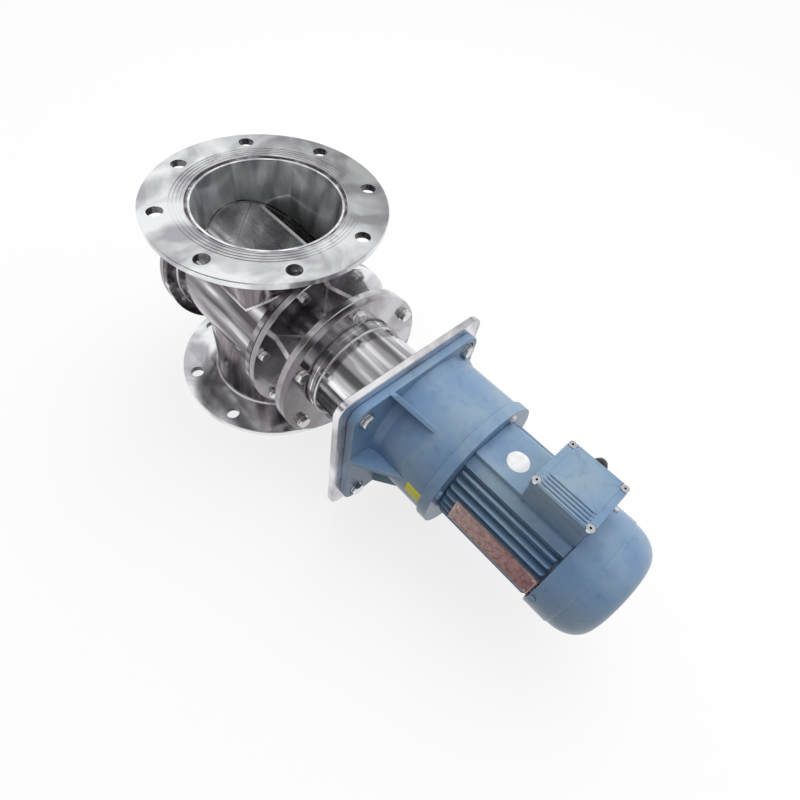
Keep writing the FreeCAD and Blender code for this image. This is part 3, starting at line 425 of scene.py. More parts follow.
def shade_painted_below(tree, color, low, high, least):
    """Painted shade: the colour times a grey that falls from one at the higher level to a least share at the
    lower.
    """
    up = axes_of(tree, place_from(tree))["Z"]
    grey = ramp(tree, level(tree, up, 0.0, 1.0, low, high), (least,) * 3, (1,) * 3, 0.0, 1.0)
    shade = add_node(tree, "MixRGB", {"Fac": 1.0}, blend_type="MULTIPLY")
    link(tree, color, shade.inputs["Color1"])
    link(tree, grey, shade.inputs["Color2"])
    return shade.outputs["Color"]


def painted_shade_metal(tree, color):
    """A colour of painted shade on the metal, with fine darker spots."""
    spots = clouds(tree, place_from(tree), 120.0, 4.0)
    return ramp(tree, spots, tuple(c * 0.7 for c in color), color)


def from_shaft(tree):
    """Distance from the shaft's line."""
    return distance(tree, place_from(tree, AXIS), (0, 1, 1))


def within_neck(tree):
    """One inside the neck's wall, where the size of Y is less than that of the wall's middle. That
    goes with the height from the flat side, cut by the circle, to the circle of the pipe."""
    parts = axes_of(tree, place_from(tree, AXIS))
    x, y, z = (calc(tree, "ABSOLUTE", parts[letter]) for letter in "XYZ")
    middle = PIPE_R - PIPE_WALL / 2
    square = calc(tree, "SUBTRACT", middle ** 2, calc(tree, "MULTIPLY", x, x))
    circle = calc(tree, "SQRT", calc(tree, "MAXIMUM", square, 0.0))
    flat = calc(tree, "MINIMUM", circle, NECK_HALF - PIPE_WALL / 2)
    foot = math.sqrt(PIPE_R ** 2 - NECK_HALF ** 2)
    rise = level(tree, z, 0.0, 1.0, foot, INLET_LOW[2] - AXIS_Z)
    side = calc(tree, "MULTIPLY_ADD", calc(tree, "SUBTRACT", circle, flat), rise, flat)
    return calc(tree, "LESS_THAN", y, side)


def within_drum(tree):
    """One inside the drum's wall, by the distance from the shaft's line."""
    return calc(tree, "LESS_THAN", from_shaft(tree), PIPE_R - PIPE_WALL / 2)


def beyond_tube(tree):
    """One on the lantern's flange, by the distance from the shaft's line."""
    return calc(tree, "GREATER_THAN", from_shaft(tree), TUBE_R + 0.001)


def in_bolt_hole(tree):
    """One on the walls of the flange's bolt holes, which are painted dark as shade: near the bolt circle, and
    not facing along Z.
    """
    reach = distance(tree, place_from(tree, AXIS), (1, 1, 0))
    off = calc(tree, "ABSOLUTE", calc(tree, "SUBTRACT", reach, BOLT_CIRCLE_R))
    near = calc(tree, "LESS_THAN", off, BOLT_HOLE_R + 0.0005)
    facing = axes_of(tree, add_node(tree, "TexCoord").outputs["Normal"])["Z"]
    upright = calc(tree, "LESS_THAN", calc(tree, "ABSOLUTE", facing), 0.5)
    return calc(tree, "MULTIPLY", near, upright)


def on_blade_edge(tree):
    """One on the tips and ends of the rotor's blades, where the painted highlight goes."""
    along = axes_of(tree, place_from(tree, AXIS))["X"]
    ends = calc(tree, "GREATER_THAN", calc(tree, "ABSOLUTE", along), BLADE_END)
    tips = calc(tree, "GREATER_THAN", from_shaft(tree), BLADE_TIP_R)
    return calc(tree, "MAXIMUM", tips, ends)


def screw_paint():
    """Cowl screws painted over with the cowl, with the highest one bare: a mask on the height."""
    material, tree, shader = blank_material("cowl_screw_paint")
    place = place_from(tree)
    p = settings().paint
    bare = level(tree, axes_of(tree, place)["Z"], 0.0, 1.0, AXIS_Z + 0.055, AXIS_Z + 0.058)
    scuffs = clouds(tree, place, 400.0, 3.0)
    painted = ramp(tree, scuffs, tuple(p.paint), tuple(p.wear_and_shade))
    zinc = ramp(tree, scuffs, (0.5, 0.49, 0.48), (0.78, 0.78, 0.78))
    link(tree, bare, shader.inputs["Metallic"])
    set_surface(tree, shader, mixed(tree, bare, painted, zinc), level(tree, scuffs, 0.25, 0.45),
                scuffs, 0.1, 0.0002, 0.0004)
    return material


def paint(name, rough=0.38, grain=0.0004, edge=0.0012):
    """Sprayed paint on a casting: faded patches, darker specks, fine orange peel, and lighter edges that are
    rubbed paint and painted highlight.
    """
    p = settings().paint
    material, tree, shader = blank_material(name)
    place = place_from(tree)
    patches = clouds(tree, place, 9.0, 5.0, 0.4)
    color = ramp(tree, patches, tuple(p.paint), tuple(p.wear_and_shade), 0.44, 0.72)
    specks = level(tree, clouds(tree, place, 70.0, 6.0, 0.3), 0.0, 0.32, 0.52, 0.7)
    color = mixed(tree, specks, color, (0.085, 0.165, 0.31, 1))
    # Lighter edges: rubbed paint and painted edge highlights.
    rubbed_and_lit = ramp(tree, patches, (0.33, 0.45, 0.62), (0.42, 0.52, 0.62))
    color = mixed(tree, edge_wear_and_highlight(tree, 0.0018), color, rubbed_and_lit)
    peel = clouds(tree, place, 420.0, 3.0)
    shader.inputs["Coat Weight"].default_value = 0.25
    shader.inputs["Coat Roughness"].default_value = 0.25
    set_surface(tree, shader, color, level(tree, patches, rough * 0.85, rough * 1.3), peel, 0.25, grain, edge)
    return material


def label_print(name, color):
    """Bare printed foil: one ink over a faint paper grain, a little dirty in patches."""
    material, tree, shader = blank_material(name)
    place = place_from(tree)
    dirt = clouds(tree, place, 90.0, 4.0)
    dirt_and_shade = tuple(c * 0.82 for c in color)
    set_surface(tree, shader, ramp(tree, dirt, dirt_and_shade, color, 0.3, 0.55), level(tree, dirt, 0.3, 0.5),
                clouds(tree, place, 1500.0, 2.0), 0.1, 0.0001)
    return material


def moulded(name, color, rough):
    """Moulded plastic, rubber or sheet with a fine skin."""
    material, tree, shader = blank_material(name)
    place = place_from(tree)
    skin = clouds(tree, place, 600.0)
    dark = tuple(c * 0.75 for c in color)
    set_surface(tree, shader, ramp(tree, clouds(tree, place, 40.0), dark, color),
                level(tree, skin, rough * 0.8, rough * 1.2), skin, 0.15, 0.0003, 0.0004)
    return material


def socket_screws():
    """Screw heads seen from above: a dark socket and a thin dark ring, painted shade in the socket and the
    gap, with a bright face and a bright flange.
    The distance to the nearest screw comes from the sizes of X and Y about the middle of the four."""
    low, high = span("lid_screws")
    reach = (high - low) / 2 - LID_SCREW_R
    material, tree, shader = blank_material("lid_screw_zinc", 1.0)
    folded = vector_step(tree, "ABSOLUTE", place_from(tree, (low + high) / 2))
    local = vector_step(tree, "SUBTRACT", folded, reach)
    share = level(tree, distance(tree, local, (1, 1, 0)), 0.0, 1.0, 0.0, LID_SCREW_R)
    # Painted shade: the black socket and the dark ring in the gap round the face.
    rings = [(place, (grey,) * 3) for place, grey in ((0.0, 0.02), (0.32, 0.62), (0.70, 0.12), (0.80, 0.8))]
    scuffs = clouds(tree, place_from(tree), 500.0, 3.0)
    set_surface(tree, shader, stops(tree, share, rings, "CONSTANT"), level(tree, scuffs, 0.2, 0.4),
                scuffs, 0.1, 0.0002, 0.0005)
    return material


def rating_foil():
    """The bare rating plate: a reddish tint over metal that is a painted reflection of its surroundings,
    mottled and darker towards the cowl.
    """
    material, tree, shader = blank_material("rating_foil", 0.35)
    place = place_from(tree)
    spots = clouds(tree, place, 160.0, 5.0, 0.5)
    near = ramp(tree, spots, (0.30, 0.16, 0.14), (0.58, 0.40, 0.36), 0.35, 0.62)
    far = ramp(tree, spots, (0.13, 0.035, 0.04), (0.36, 0.15, 0.16), 0.35, 0.62)
    along = level(tree, axes_of(tree, place)["X"], 0.0, 1.0, 0.47, 0.585)
    set_surface(tree, shader, mixed(tree, along, near, far), level(tree, spots, 0.28, 0.5),
                spots, 0.2, 0.0003, 0.0002)
    return material


def both(*names, sides=("drive", "outboard")):
    """Names of nodes that come once for each side."""
    return [f"{side}_{name}" for name in names for side in sides]


def node_finishes():
    """The finish of each CAD node, by the metal or paint it has."""
    inlet = (0, 0, INLET_HIGH[2])
    shaft = (0, 0, AXIS_Z)
    motor = (0, MOTOR_Y, AXIS_Z)
    # Painted light: brighter, bluish colours on the inner walls of the drum and necks, with painted
    # reflections.
    painted_light_inside = (0.42, 0.44, 0.47), (0.97, 0.99, 1.0)
    # Painted shade on the low side of the lantern's flange.
    painted_shade_tint = (0.125, 0.1, 0.11)
    # Painted shade deep in the bore, below these heights.
    depth = (AXIS_Z + 0.075, AXIS_Z + 0.15, 0.22)
    s = settings().steel
    # The bolt holes' walls are painted nearly black as shade.
    joint = steel("flange_steel", inlet, "turned Z", (tuple(s.shaded), tuple(s.polished)), s.roughness,
                  seed=0.03,
                  inside=(in_bolt_hole, (0.035, 0.035, 0.04), (0.2, 0.2, 0.21), (60, 60, 60), 0.7))
    # The dark and bright streaks and glints on the drum and necks are painted reflections.
    pipe = steel("pipe_steel", shaft, "drawn X", ((0.1, 0.088, 0.1), (0.40, 0.385, 0.41)), 0.11,
                 streaks=(4, 44, 44), glint=(0.76, 0.76, 0.79), depth=depth,
                 inside=(within_drum, *painted_light_inside, (12, 30, 30), 0.6))
    neck = steel("neck_steel", shaft, "drawn Z", ((0.12, 0.095, 0.11), (0.33, 0.295, 0.32)), 0.13, seed=0.07,
                 streaks=(54, 54, 3), glint=(0.55, 0.53, 0.56), depth=depth,
                 inside=(within_neck, *painted_light_inside, (34, 34, 9), 0.6))
    # Painted shade towards low Y on the covers, caps, bearing flange and gland.
    plate = steel("turned_plate_steel", shaft, "turned X", ((0.45, 0.44, 0.455), (0.85, 0.845, 0.86)), 0.15,
                  seed=0.11, dirt_and_shade=(0.28, 0.25, 0.27))
    # Painted reflections in the tube's streaks; on its flange face, darker colours and a darker low side as
    # painted shade and dark reflections.
    tube = steel("tube_steel", shaft, "turned X", ((0.34, 0.33, 0.35), (0.95, 0.96, 0.97)), 0.12, seed=0.05,
                 streaks=(5, 50, 50), dirt_and_shade=painted_shade_tint,
                 inside=(beyond_tube, (0.3, 0.28, 0.295), (0.56, 0.55, 0.57)))
    square = steel("square_plate_steel", shaft, "plain", ((0.40, 0.385, 0.41), (0.82, 0.81, 0.84)), 0.2,
                   seed=0.17)
    bright = steel("screw_steel", ORIGIN, "plain", ((0.5, 0.49, 0.48), (0.78, 0.78, 0.78)), 0.2)
    # Painted highlight: the blade tips and ends nearly white.
    rotor = steel("rotor_steel", shaft, "drawn X", ((0.42, 0.42, 0.44), (0.8, 0.81, 0.82)), 0.2,
                  inside=(on_blade_edge, (0.9, 0.9, 0.9), (1.0, 1.0, 1.0), (20, 20, 20), 0.5))
    ground = steel("ground_steel", motor, "turned X", ((0.45, 0.45, 0.46), (0.66, 0.66, 0.67)), 0.2)
    iron = steel("machined_iron", shaft, "turned X", ((0.09, 0.085, 0.08), (0.3, 0.28, 0.25)), 0.42)
    core = steel("sheet_core", motor, "plain", ((0.2, 0.17, 0.15), (0.4, 0.36, 0.33)), 0.45)
    blue = paint("motor_paint")
    return {
        joint: both("flange", sides=("inlet", "outlet")),
        pipe: ["body_drum"],
        neck: both("neck", "weld", sides=("inlet", "outlet")),
        plate: both("cover", "bearing_cap") + ["bearing_flange", "drive_gland"],
        tube: ["lantern"],
        screw_paint(): ["cowl_screws", "shield_screws"],
        square: ["motor_plate", "yoke_ribs"],
        bright: both("cover_screws", "cap_screws") + ["gland_screws", "lantern_screws", "plate_bolts",
                                                      "plate_nuts"],
        rotor: ["rotor_blades", "rotor_hub"],
        ground: both("bearing_outer", "bearing_inner") + [
            "rotor_shaft", "rotor_key", "coupling_keys", "gearbox_shaft", "motor_shaft", "output_bearing",
            "motor_bearings"],
        iron: ["coupling_valve_half", "coupling_motor_half"],
        core: ["stator_core", "motor_rotor"],
        blue: ["gearbox_housing", "input_shield", "motor_frame", "rear_shield", "terminal_box",
               "terminal_lid", "fan_cowl"],
        moulded("gasket_sheet", (0.03, 0.03, 0.032), 0.7): both("gasket"),
        moulded("packing_braid", (0.6, 0.58, 0.52), 0.8): both("packing"),
        moulded("coupling_rubber", (0.55, 0.28, 0.05), 0.45): ["coupling_spider"],
        moulded("black_plastic", (0.02, 0.02, 0.022), 0.4): ["cooling_fan", "cable_plug", "terminal_block"],
        rating_foil(): ["rating_plate"],
        socket_screws(): ["lid_screws"],
    }


def dress(obj, material):
    obj.data.materials.clear()
    obj.data.materials.append(material)


def grid_quads(rows, cols, wrap_rows, wrap_cols):
    """Corner numbers of the quads between neighbouring points of a grid, stored row after row."""
    r = np.arange(rows if wrap_rows else rows - 1)[:, None]
    c = np.arange(cols if wrap_cols else cols - 1)[None, :]
    r1, c1 = (r + 1) % rows, (c + 1) % cols
    corners = np.broadcast_arrays(r * cols + c, r * cols + c1, r1 * cols + c1, r1 * cols + c)
    return np.stack(corners, axis=-1).reshape(-1, 4)


def sheet_of(points, wrap_rows=False, wrap_cols=True):
    """The points and quads of one grid of shape rows, columns, 3."""
    rows, cols = points.shape[:2]
    return points.reshape(-1, 3), grid_quads(rows, cols, wrap_rows, wrap_cols)


def piece(name, sheets, material, body="valve_body", node=None, wall=0.0, smooth=40.0):
    """One mesh object from sheets of points and quads, closed at its seams and facing outwards."""
    points = np.concatenate([p for p, _ in sheets])
    starts = np.cumsum([0] + [len(p) for p, _ in sheets[:-1]])
    quads = np.concatenate([q + start for (_, q), start in zip(sheets, starts)])
    mesh = bpy.data.meshes.new(name)
    mesh.from_pydata(points.tolist(), [], quads.tolist())
    shape = bmesh.new()
    shape.from_mesh(mesh)
    bmesh.ops.remove_doubles(shape, verts=shape.verts, dist=2e-6)
    bmesh.ops.dissolve_degenerate(shape, edges=shape.edges, dist=1e-6)
    bmesh.ops.recalc_face_normals(shape, faces=shape.faces)
    shape.to_mesh(mesh)
    shape.free()
    made = bpy.data.objects.new(name, mesh)
    bpy.context.scene.collection.objects.link(made)
    if wall:
        solid = made.modifiers.new("wall", "SOLIDIFY")
        solid.thickness = wall
        solid.offset = -1.0
    mesh.shade_smooth()
    mesh.set_sharp_from_angle(angle=math.radians(smooth))
    mesh.materials.append(material)
    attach(made, body)
    if node:
        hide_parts(node)
    return made


def full_turn(steps):
    """Angles evenly round a circle."""
    return np.arange(steps) / steps * TURN


def around(angles, radius=1.0):
    """Points of a circle in the YZ plane: radius times cosine along Y and sine along Z."""
    angles = np.asarray(angles, float)
    flat = np.stack([np.zeros_like(angles), np.cos(angles), np.sin(angles)], axis=-1)
    return flat * np.asarray(radius)[..., None]


def turned(radius, rise, steps, order=(0, 1, 2)):
    """A profile turned about Z: at each rise a circle, whose radius may be one number or one for each
    angle. Order swaps the axes, so (2, 0, 1) turns it about X."""
    angle = full_turn(steps)
    radius = np.asarray(radius, float).reshape(len(rise), -1) * np.ones(steps)
    up = np.broadcast_to(np.reshape(rise, (-1, 1)), radius.shape)
    return np.stack([radius * np.cos(angle), radius * np.sin(angle), up], axis=-1)[..., order]


def circle_path(centre, axis, radius, steps):
    """A circle about X or Z as a closed path, with the outward direction at each point."""
    angles = full_turn(steps)
    if axis == "X":
        out = around(angles)
    else:
        out = np.stack([np.cos(angles), np.sin(angles), np.zeros(steps)], axis=-1)
    return np.asarray(centre) + radius * out, out


def way_along(path):
    """From the point before to the point after, at each point of a closed path."""
    return np.roll(path, -1, axis=0) - np.roll(path, 1, axis=0)


def line_path(start, end, steps):
    t = np.linspace(0, 1, steps)[:, None]
    return np.asarray(start) * (1 - t) + np.asarray(end) * t


def carried_circle(path, ahead, size, guide, sides, closed):
    """A tube: at each point of a path a circle of that point's size, square to the way ahead."""
    ahead = ahead / np.linalg.norm(ahead, axis=1, keepdims=True)
    side = np.cross(ahead, np.broadcast_to(guide, ahead.shape))
    side /= np.linalg.norm(side, axis=1, keepdims=True)
    up = np.cross(side, ahead)
    angle = full_turn(sides)
    ring = side[:, None] * np.cos(angle)[None, :, None] + up[:, None] * np.sin(angle)[None, :, None]
    return sheet_of(path[:, None] + ring * np.reshape(size, (-1, 1, 1)), wrap_rows=closed)


def bead(path, radius, closed, seed):
    """A weld bead: a circle carried along a path. Its radius rises and falls once per ripple with
    a slow wander on top, and it closes to a point at the ends of an open path."""
    steps = np.diff(path, axis=0, append=path[:1] if closed else path[-1:])
    length = np.concatenate([[0], np.cumsum(np.linalg.norm(steps, axis=1))[:-1]])
    pitch = settings().weld.ripple
    turns = max(1, round(length[-1] / pitch))
    phase = length / max(length[-1], 1e-9) * turns * TURN
    wander = np.sin(phase / 7.3 + seed) * 0.5 + np.sin(phase / 17.1 + 2 * seed) * 0.5
    size = radius * (1 + 0.13 * np.cos(phase) + 0.10 * wander)
    if not closed:
        size[[0, -1]] = 0.0
    ahead = way_along(path) if closed else np.gradient(path, axis=0)
    return carried_circle(path, ahead, size, (0.31, 0.57, 0.76), 10, closed)


def rounded_outline(length, width, corner, steps):
    """A rectangle with round corners, centred on zero: four quarter circles, one after another."""
    turn = np.linspace(0, TURN / 4, steps)
    centres = np.array([(1, 1), (-1, 1), (-1, -1), (1, -1)]) * (length / 2 - corner, width / 2 - corner)
    parts = [c + corner * np.stack([np.cos(turn + i * TURN / 4), np.sin(turn + i * TURN / 4)], axis=-1)
             for i, c in enumerate(centres)]
    return np.concatenate(parts)


def slab(outline, height, edge, origin, basis, taper=0.0, round_low=False):
    """A plate of any convex outline whose upper edge is a quarter circle: each row is the outline
    drawn in by one minus the cosine and raised by the sine, and both faces close at the middle.
    A ring just inside each face keeps the face flat.
    The half thickness may shrink along the outline's second direction by a taper."""
    turn = np.linspace(0, TURN / 4, 4)
    inset = edge * (1 - np.cos(turn))
    rise = height - edge + edge * np.sin(turn)
    if round_low:
        low_in, low_rise = inset[::-1], height - rise[::-1]
    else:
        low_in, low_rise = np.array([0.0]), np.array([0.0])
    flat_step = 0.0005
    insets = np.concatenate([low_in[:1] + flat_step, low_in, inset, inset[-1:] + flat_step])
    rises = np.concatenate([low_rise[:1], low_rise, rise, rise[-1:]])
    ahead = way_along(outline)
    out = np.stack([ahead[:, 1], -ahead[:, 0]], axis=-1)
    out /= np.linalg.norm(out, axis=1, keepdims=True)
    flat = outline[None] - out[None] * insets[:, None, None]
    middle = np.broadcast_to(outline.mean(axis=0), outline.shape)
    flat = np.concatenate([middle[None], flat, middle[None]])
    rises = np.concatenate([rises[:1], rises, rises[-1:]])
    h = np.broadcast_to(rises[:, None], flat.shape[:2]).copy()
    if taper:
        reach = (flat[..., 1] - outline[:, 1].min()) / np.ptp(outline[:, 1])
        h = height / 2 + (h - height / 2) * (1 - taper * reach)
    local = np.concatenate([flat, h[..., None]], axis=-1)
    return sheet_of(np.asarray(origin) + local @ np.asarray(basis, float))


def saddle_seam(sign):
    """The seam of a neck on the drum: round the neck's outline, at the height of the drum's circle
    for that Y, and at the end flange's circle where the outline is past the flange's inner face."""
    flat_x = math.sqrt(PIPE_R ** 2 - NECK_HALF ** 2)
    flange_x = DRUM_HIGH[0] - RIM_T
    step = math.acos(flange_x / PIPE_R)
    corner = math.atan2(NECK_HALF, flat_x)
    on_rim, on_climb, on_side = 31, 7, 60
    rim = np.linspace(-step, step, on_rim)
    climb = np.full(on_climb, step)
    arc = np.linspace(step, corner, on_side)
    angle = np.concatenate([rim, climb, arc])
    xy = np.stack([np.cos(angle), np.sin(angle)], axis=-1) * PIPE_R
    drum = np.sqrt(PIPE_R ** 2 - xy[:, 1] ** 2)
    edge = np.sqrt(RIM_R ** 2 - xy[:, 1] ** 2)
    down = np.linspace(edge[on_rim], drum[on_rim], on_climb + 2)[1:-1]
    z = np.concatenate([edge[:on_rim], down, drum[on_rim + on_climb:]])
    points = np.column_stack([xy, z])
    front, quarter = points[:on_rim], points[on_rim:]
    level_x = np.linspace(flat_x, -flat_x, on_side)[1:-1]
    flat = np.column_stack([level_x, np.full_like(level_x, NECK_HALF), np.full_like(level_x, flat_x)])
    half = np.concatenate([front, quarter, flat, (quarter * (-1, 1, 1))[::-1]])
    return np.concatenate([half, half * (-1, -1, 1)]) * (1, 1, sign) + AXIS


def weld_paths():
    """Every weld in view as (name, paths, radius, closed)."""
    r = settings().weld.bead
    neck_top = INLET_LOW[2] - AXIS_Z
    seams = []
    for word, sign in (("inlet", 1), ("outlet", -1)):
        path = saddle_seam(sign)
        seams.append((f"{word}_saddle_weld", [path], r, True))
        ring, _ = circle_path(AXIS + (0, 0, sign * neck_top), "Z", PIPE_R, 420)
        seams.append((f"{word}_flange_weld", [ring], r * 1.15, True))
    for word, x in (("drive", DRUM_HIGH[0] - RIM_T), ("outboard", DRUM_LOW[0] + RIM_T)):
        ring, _ = circle_path(AXIS + (x, 0, 0), "X", PIPE_R, 420)
        seams.append((f"{word}_drum_weld", [ring], r * 0.75, True))
    for word, x in (("lantern_flange", LANTERN_LOW[0] + LANTERN_WELD), ("lantern_plate", PLATE_LOW[0])):
        ring, _ = circle_path(AXIS + (x, 0, 0), "X", TUBE_R, 360)
        seams.append((f"{word}_weld", [ring], r * 0.9, True))
    ribs = []
    for angle in RIB_ANGLES:
        out, side = around(angle), around(angle + TURN / 4)
        for hand in (-1, 1):
            for x, reach in zip((YOKE_LOW[0], YOKE_HIGH[0]), RIB_REACH):
                foot = AXIS + (x, 0, 0) + side * hand * RIB_HALF_T
                ribs.append(line_path(foot + out * RIB_FOOT, foot + out * reach, 60))
    seams.append(("yoke_rib_welds", ribs, r * 0.6, False))
    return seams


class WeldBeads(bpy.types.Operator):
    """Lays the rippled beads along every welded joint of the steel body."""
    bl_idname = "valve.weld_beads"
    bl_label = "Lay the weld beads"

    def execute(self, context):
        metal = steel("weld_metal", ORIGIN, "plain", ((0.34, 0.32, 0.33), (0.74, 0.74, 0.75)), 0.22,
                      edge=0.0, seed=0.23)
        for name, paths, radius, closed in weld_paths():
            sheets = [bead(path, radius, closed, i * 1.7) for i, path in enumerate(paths)]
            piece(name, sheets, metal)
        return {"FINISHED"}


class FanCowl(bpy.types.Operator):
    """Turns the pressed fan cowl: a skirt, a crease, a shoulder that is a quarter of an ellipse, and a
    flat end with air slots of one width, cut out on radii."""
    bl_idname = "valve.fan_cowl"
    bl_label = "Make the fan cowl"

    def execute(self, context):
        c = settings().cowl
        start, end = COWL_LOW[0], COWL_HIGH[0]
        skirt_r = (COWL_HIGH[1] - COWL_LOW[1]) / 2
        shoulder = start + c.skirt
        t = np.linspace(0, TURN / 4, 22)
        dome_start = shoulder + 0.0014
        dome_x = dome_start + (end - dome_start) * np.sin(t)
        dome_r = c.face + (skirt_r - c.crease - c.face) * np.cos(t)
        slot_out, slot_in = 0.045, 0.013
        flat_r = np.array([slot_out + 0.0005, slot_out, 0.038, 0.031, 0.025, 0.019, slot_in,
                           slot_in - 0.0005, 0.006, 0.0])
        x = np.concatenate([[start, start + 0.001, start + 0.012, start + 0.024, shoulder - 0.0006, shoulder],
                            dome_x, np.full(len(flat_r), end)])
        r = np.concatenate([[skirt_r] * 5, [skirt_r - 0.0003], dome_r, flat_r])
        half_slot = np.arcsin(np.clip(c.slot / 2 / np.maximum(r, slot_in), 0, 0.9))
        sector = TURN / c.slots
        across = np.array([-1.0, -0.33, 0.33, 1.0])
        slot = half_slot[:, None] * across
        rest = (sector - 2 * half_slot)[:, None] * (np.arange(1, 5) / 5) + half_slot[:, None]
        local = np.concatenate([slot, rest], axis=1)
        angle = (local[:, None] + (np.arange(c.slots) * sector)[None, :, None]).reshape(len(r), -1)
        points = around(angle) * r[:, None, None] + MOTOR
        points[..., 0] = x[:, None]
        flat, quads = sheet_of(points)
        cols = angle.shape[1]
        row, col = quads[:, 0] // cols, (quads[:, 0] % cols) % 8
        near = 0.0001
        inner = (r[row] <= slot_out + near) & (r[np.minimum(row + 1, len(r) - 1)] >= slot_in - near)
        slotted = inner & (col < 3) & (x[row] > end - 1e-6)
        piece("fan_cowl_shell", [(flat, quads[~slotted])],
              paint("cowl_paint", rough=0.34, grain=0.0002, edge=0.0), node="fan_cowl",
              wall=c.wall, smooth=30.0)
        return {"FINISHED"}


class CableGland(bpy.types.Operator):
    """Turns the plug of the cable entry. Its grip has flutes, a cosine of 30 turns cut off flat."""
    bl_idname = "valve.cable_gland"
    bl_label = "Make the cable gland"

    def execute(self, context):
        low, high = span("cable_plug")
        centre = (low + high) / 2
        reach = (high[2] - low[2]) / 2
        face = BOX_HIGH[1]
        y = np.array([face - 0.0025, face - 0.0025, face + 0.0004, face + 0.0004, face + 0.001, face + 0.009,
                      face + 0.010, face + 0.0105, face + 0.0185, face + 0.0205, face + 0.026, face + 0.026])
        r = np.array([0.0, 0.62, 0.62, 0.99, 1.0, 1.0, 0.985, 0.90, 0.88, 0.80, 0.55, 0.0]) * reach
        steps = 180
        grip = (y > face + 0.0008) & (y < face + 0.0098)
        flutes, depth = 30, 0.0007
        wave = np.clip(np.cos(full_turn(steps) * flutes), -0.4, 0.4)
        flute = wave[None] * np.where(grip, depth, 0.0)[:, None]
        radius = np.clip(r[:, None] + flute - 0.0003 * (r[:, None] > 0.8 * reach), 0, reach)
        points = turned(radius, y, steps, (0, 2, 1)) + centre * (1, 0, 1)
        piece("cable_gland", [sheet_of(points)], moulded("gland_plastic", (0.012, 0.012, 0.014), 0.42),
              node="cable_plug")
        return {"FINISHED"}


class MotorFrame(bpy.types.Operator):
    """Makes the motor frame: a turned barrel, fins on radii one pitch apart that thin outward, a solid
    sector of one radius for the shoulder, and the pad under the box."""
    bl_idname = "valve.motor_frame"
    bl_label = "Make the motor frame"

    def execute(self, context):
        m = settings().motor
        x0, x1 = FRAME_LOW[0], FRAME_HIGH[0]
        length = x1 - x0
        middle = (x0 + x1) / 2
        tip = (FRAME_HIGH[1] - FRAME_LOW[1]) / 2
        barrel = turned([FRAME_BORE, m.core, m.core, FRAME_BORE, FRAME_BORE], [x0, x0, x1, x1, x0], 96,
                        (2, 0, 1))
        sheets = [sheet_of(barrel + MOTOR)]
        sunk, fin_corner, fin_taper = 0.004, 0.0055, 0.3
        root = m.core - sunk
        outline = rounded_outline(length - 0.004, tip - root, fin_corner, 6) + (0, (tip + root) / 2)
        half_angles = m.first - m.pitch * np.arange(m.fins)
        for angle in np.radians(np.concatenate([half_angles, 180 - half_angles, [270]])):
            out, across = around(angle), around(angle + TURN / 4)
            origin = MOTOR + (middle - 0.0005, 0, 0) - across * m.fin / 2
            basis = [(1, 0, 0), out, across]
            sheets.append(slab(outline, m.fin, m.fin * 0.18, origin, basis, fin_taper, round_low=True))
        low, high = math.radians(m.shoulder), math.acos(m.pad / m.shelf)
        arc = np.concatenate([[low], np.linspace(low, high, 8)])
        right = np.stack([np.cos(arc), np.sin(arc)], axis=-1) * np.array([root] + [m.shelf] * 8)[:, None]
        outline = np.concatenate([right, (right * (-1, 1))[::-1]])
        basis = [(0, 1, 0), (0, 0, 1), (1, 0, 0)]
        sheets.append(slab(outline, length, 0.0015, MOTOR + (x0, 0, 0), basis, round_low=True))
        pad = rounded_outline(length, 2 * m.pad, 0.003, 4)
        sheets.append(slab(pad, FRAME_HIGH[2] - AXIS_Z, 0.0014, MOTOR + (middle, 0, 0), np.eye(3)))
        piece("finned_frame", sheets, paint("frame_paint", edge=0.0), node="motor_frame")
        return {"FINISHED"}


class LidPanel(bpy.types.Operator):
    """Raises the middle of the box lid: a plate with round edges between each two grooves."""
    bl_idname = "valve.lid_panel"
    bl_label = "Raise the lid's panel"

    def execute(self, context):
        l = settings().lid
        x0, x1 = LID_LOW[0] + l.margin, LID_HIGH[0] - l.margin
        edges = LID_LOW[1] + l.edge + l.pitch * np.arange(l.grooves)
        starts = np.concatenate([[LID_LOW[1] + 0.0012], edges + l.groove])
        ends = np.concatenate([edges, [LID_HIGH[1] - l.border]])
        sheets = []
        for start, end in zip(starts, ends):
            outline = rounded_outline(x1 - x0, end - start, min(0.0012, (end - start) * 0.45), 4)
            origin = ((x0 + x1) / 2, (start + end) / 2, LID_HIGH[2])
            sheets.append(slab(outline, l.rise, l.rise * 0.7, origin, np.eye(3)))
        piece("lid_panel", sheets, paint("lid_paint", edge=0.0))
        return {"FINISHED"}


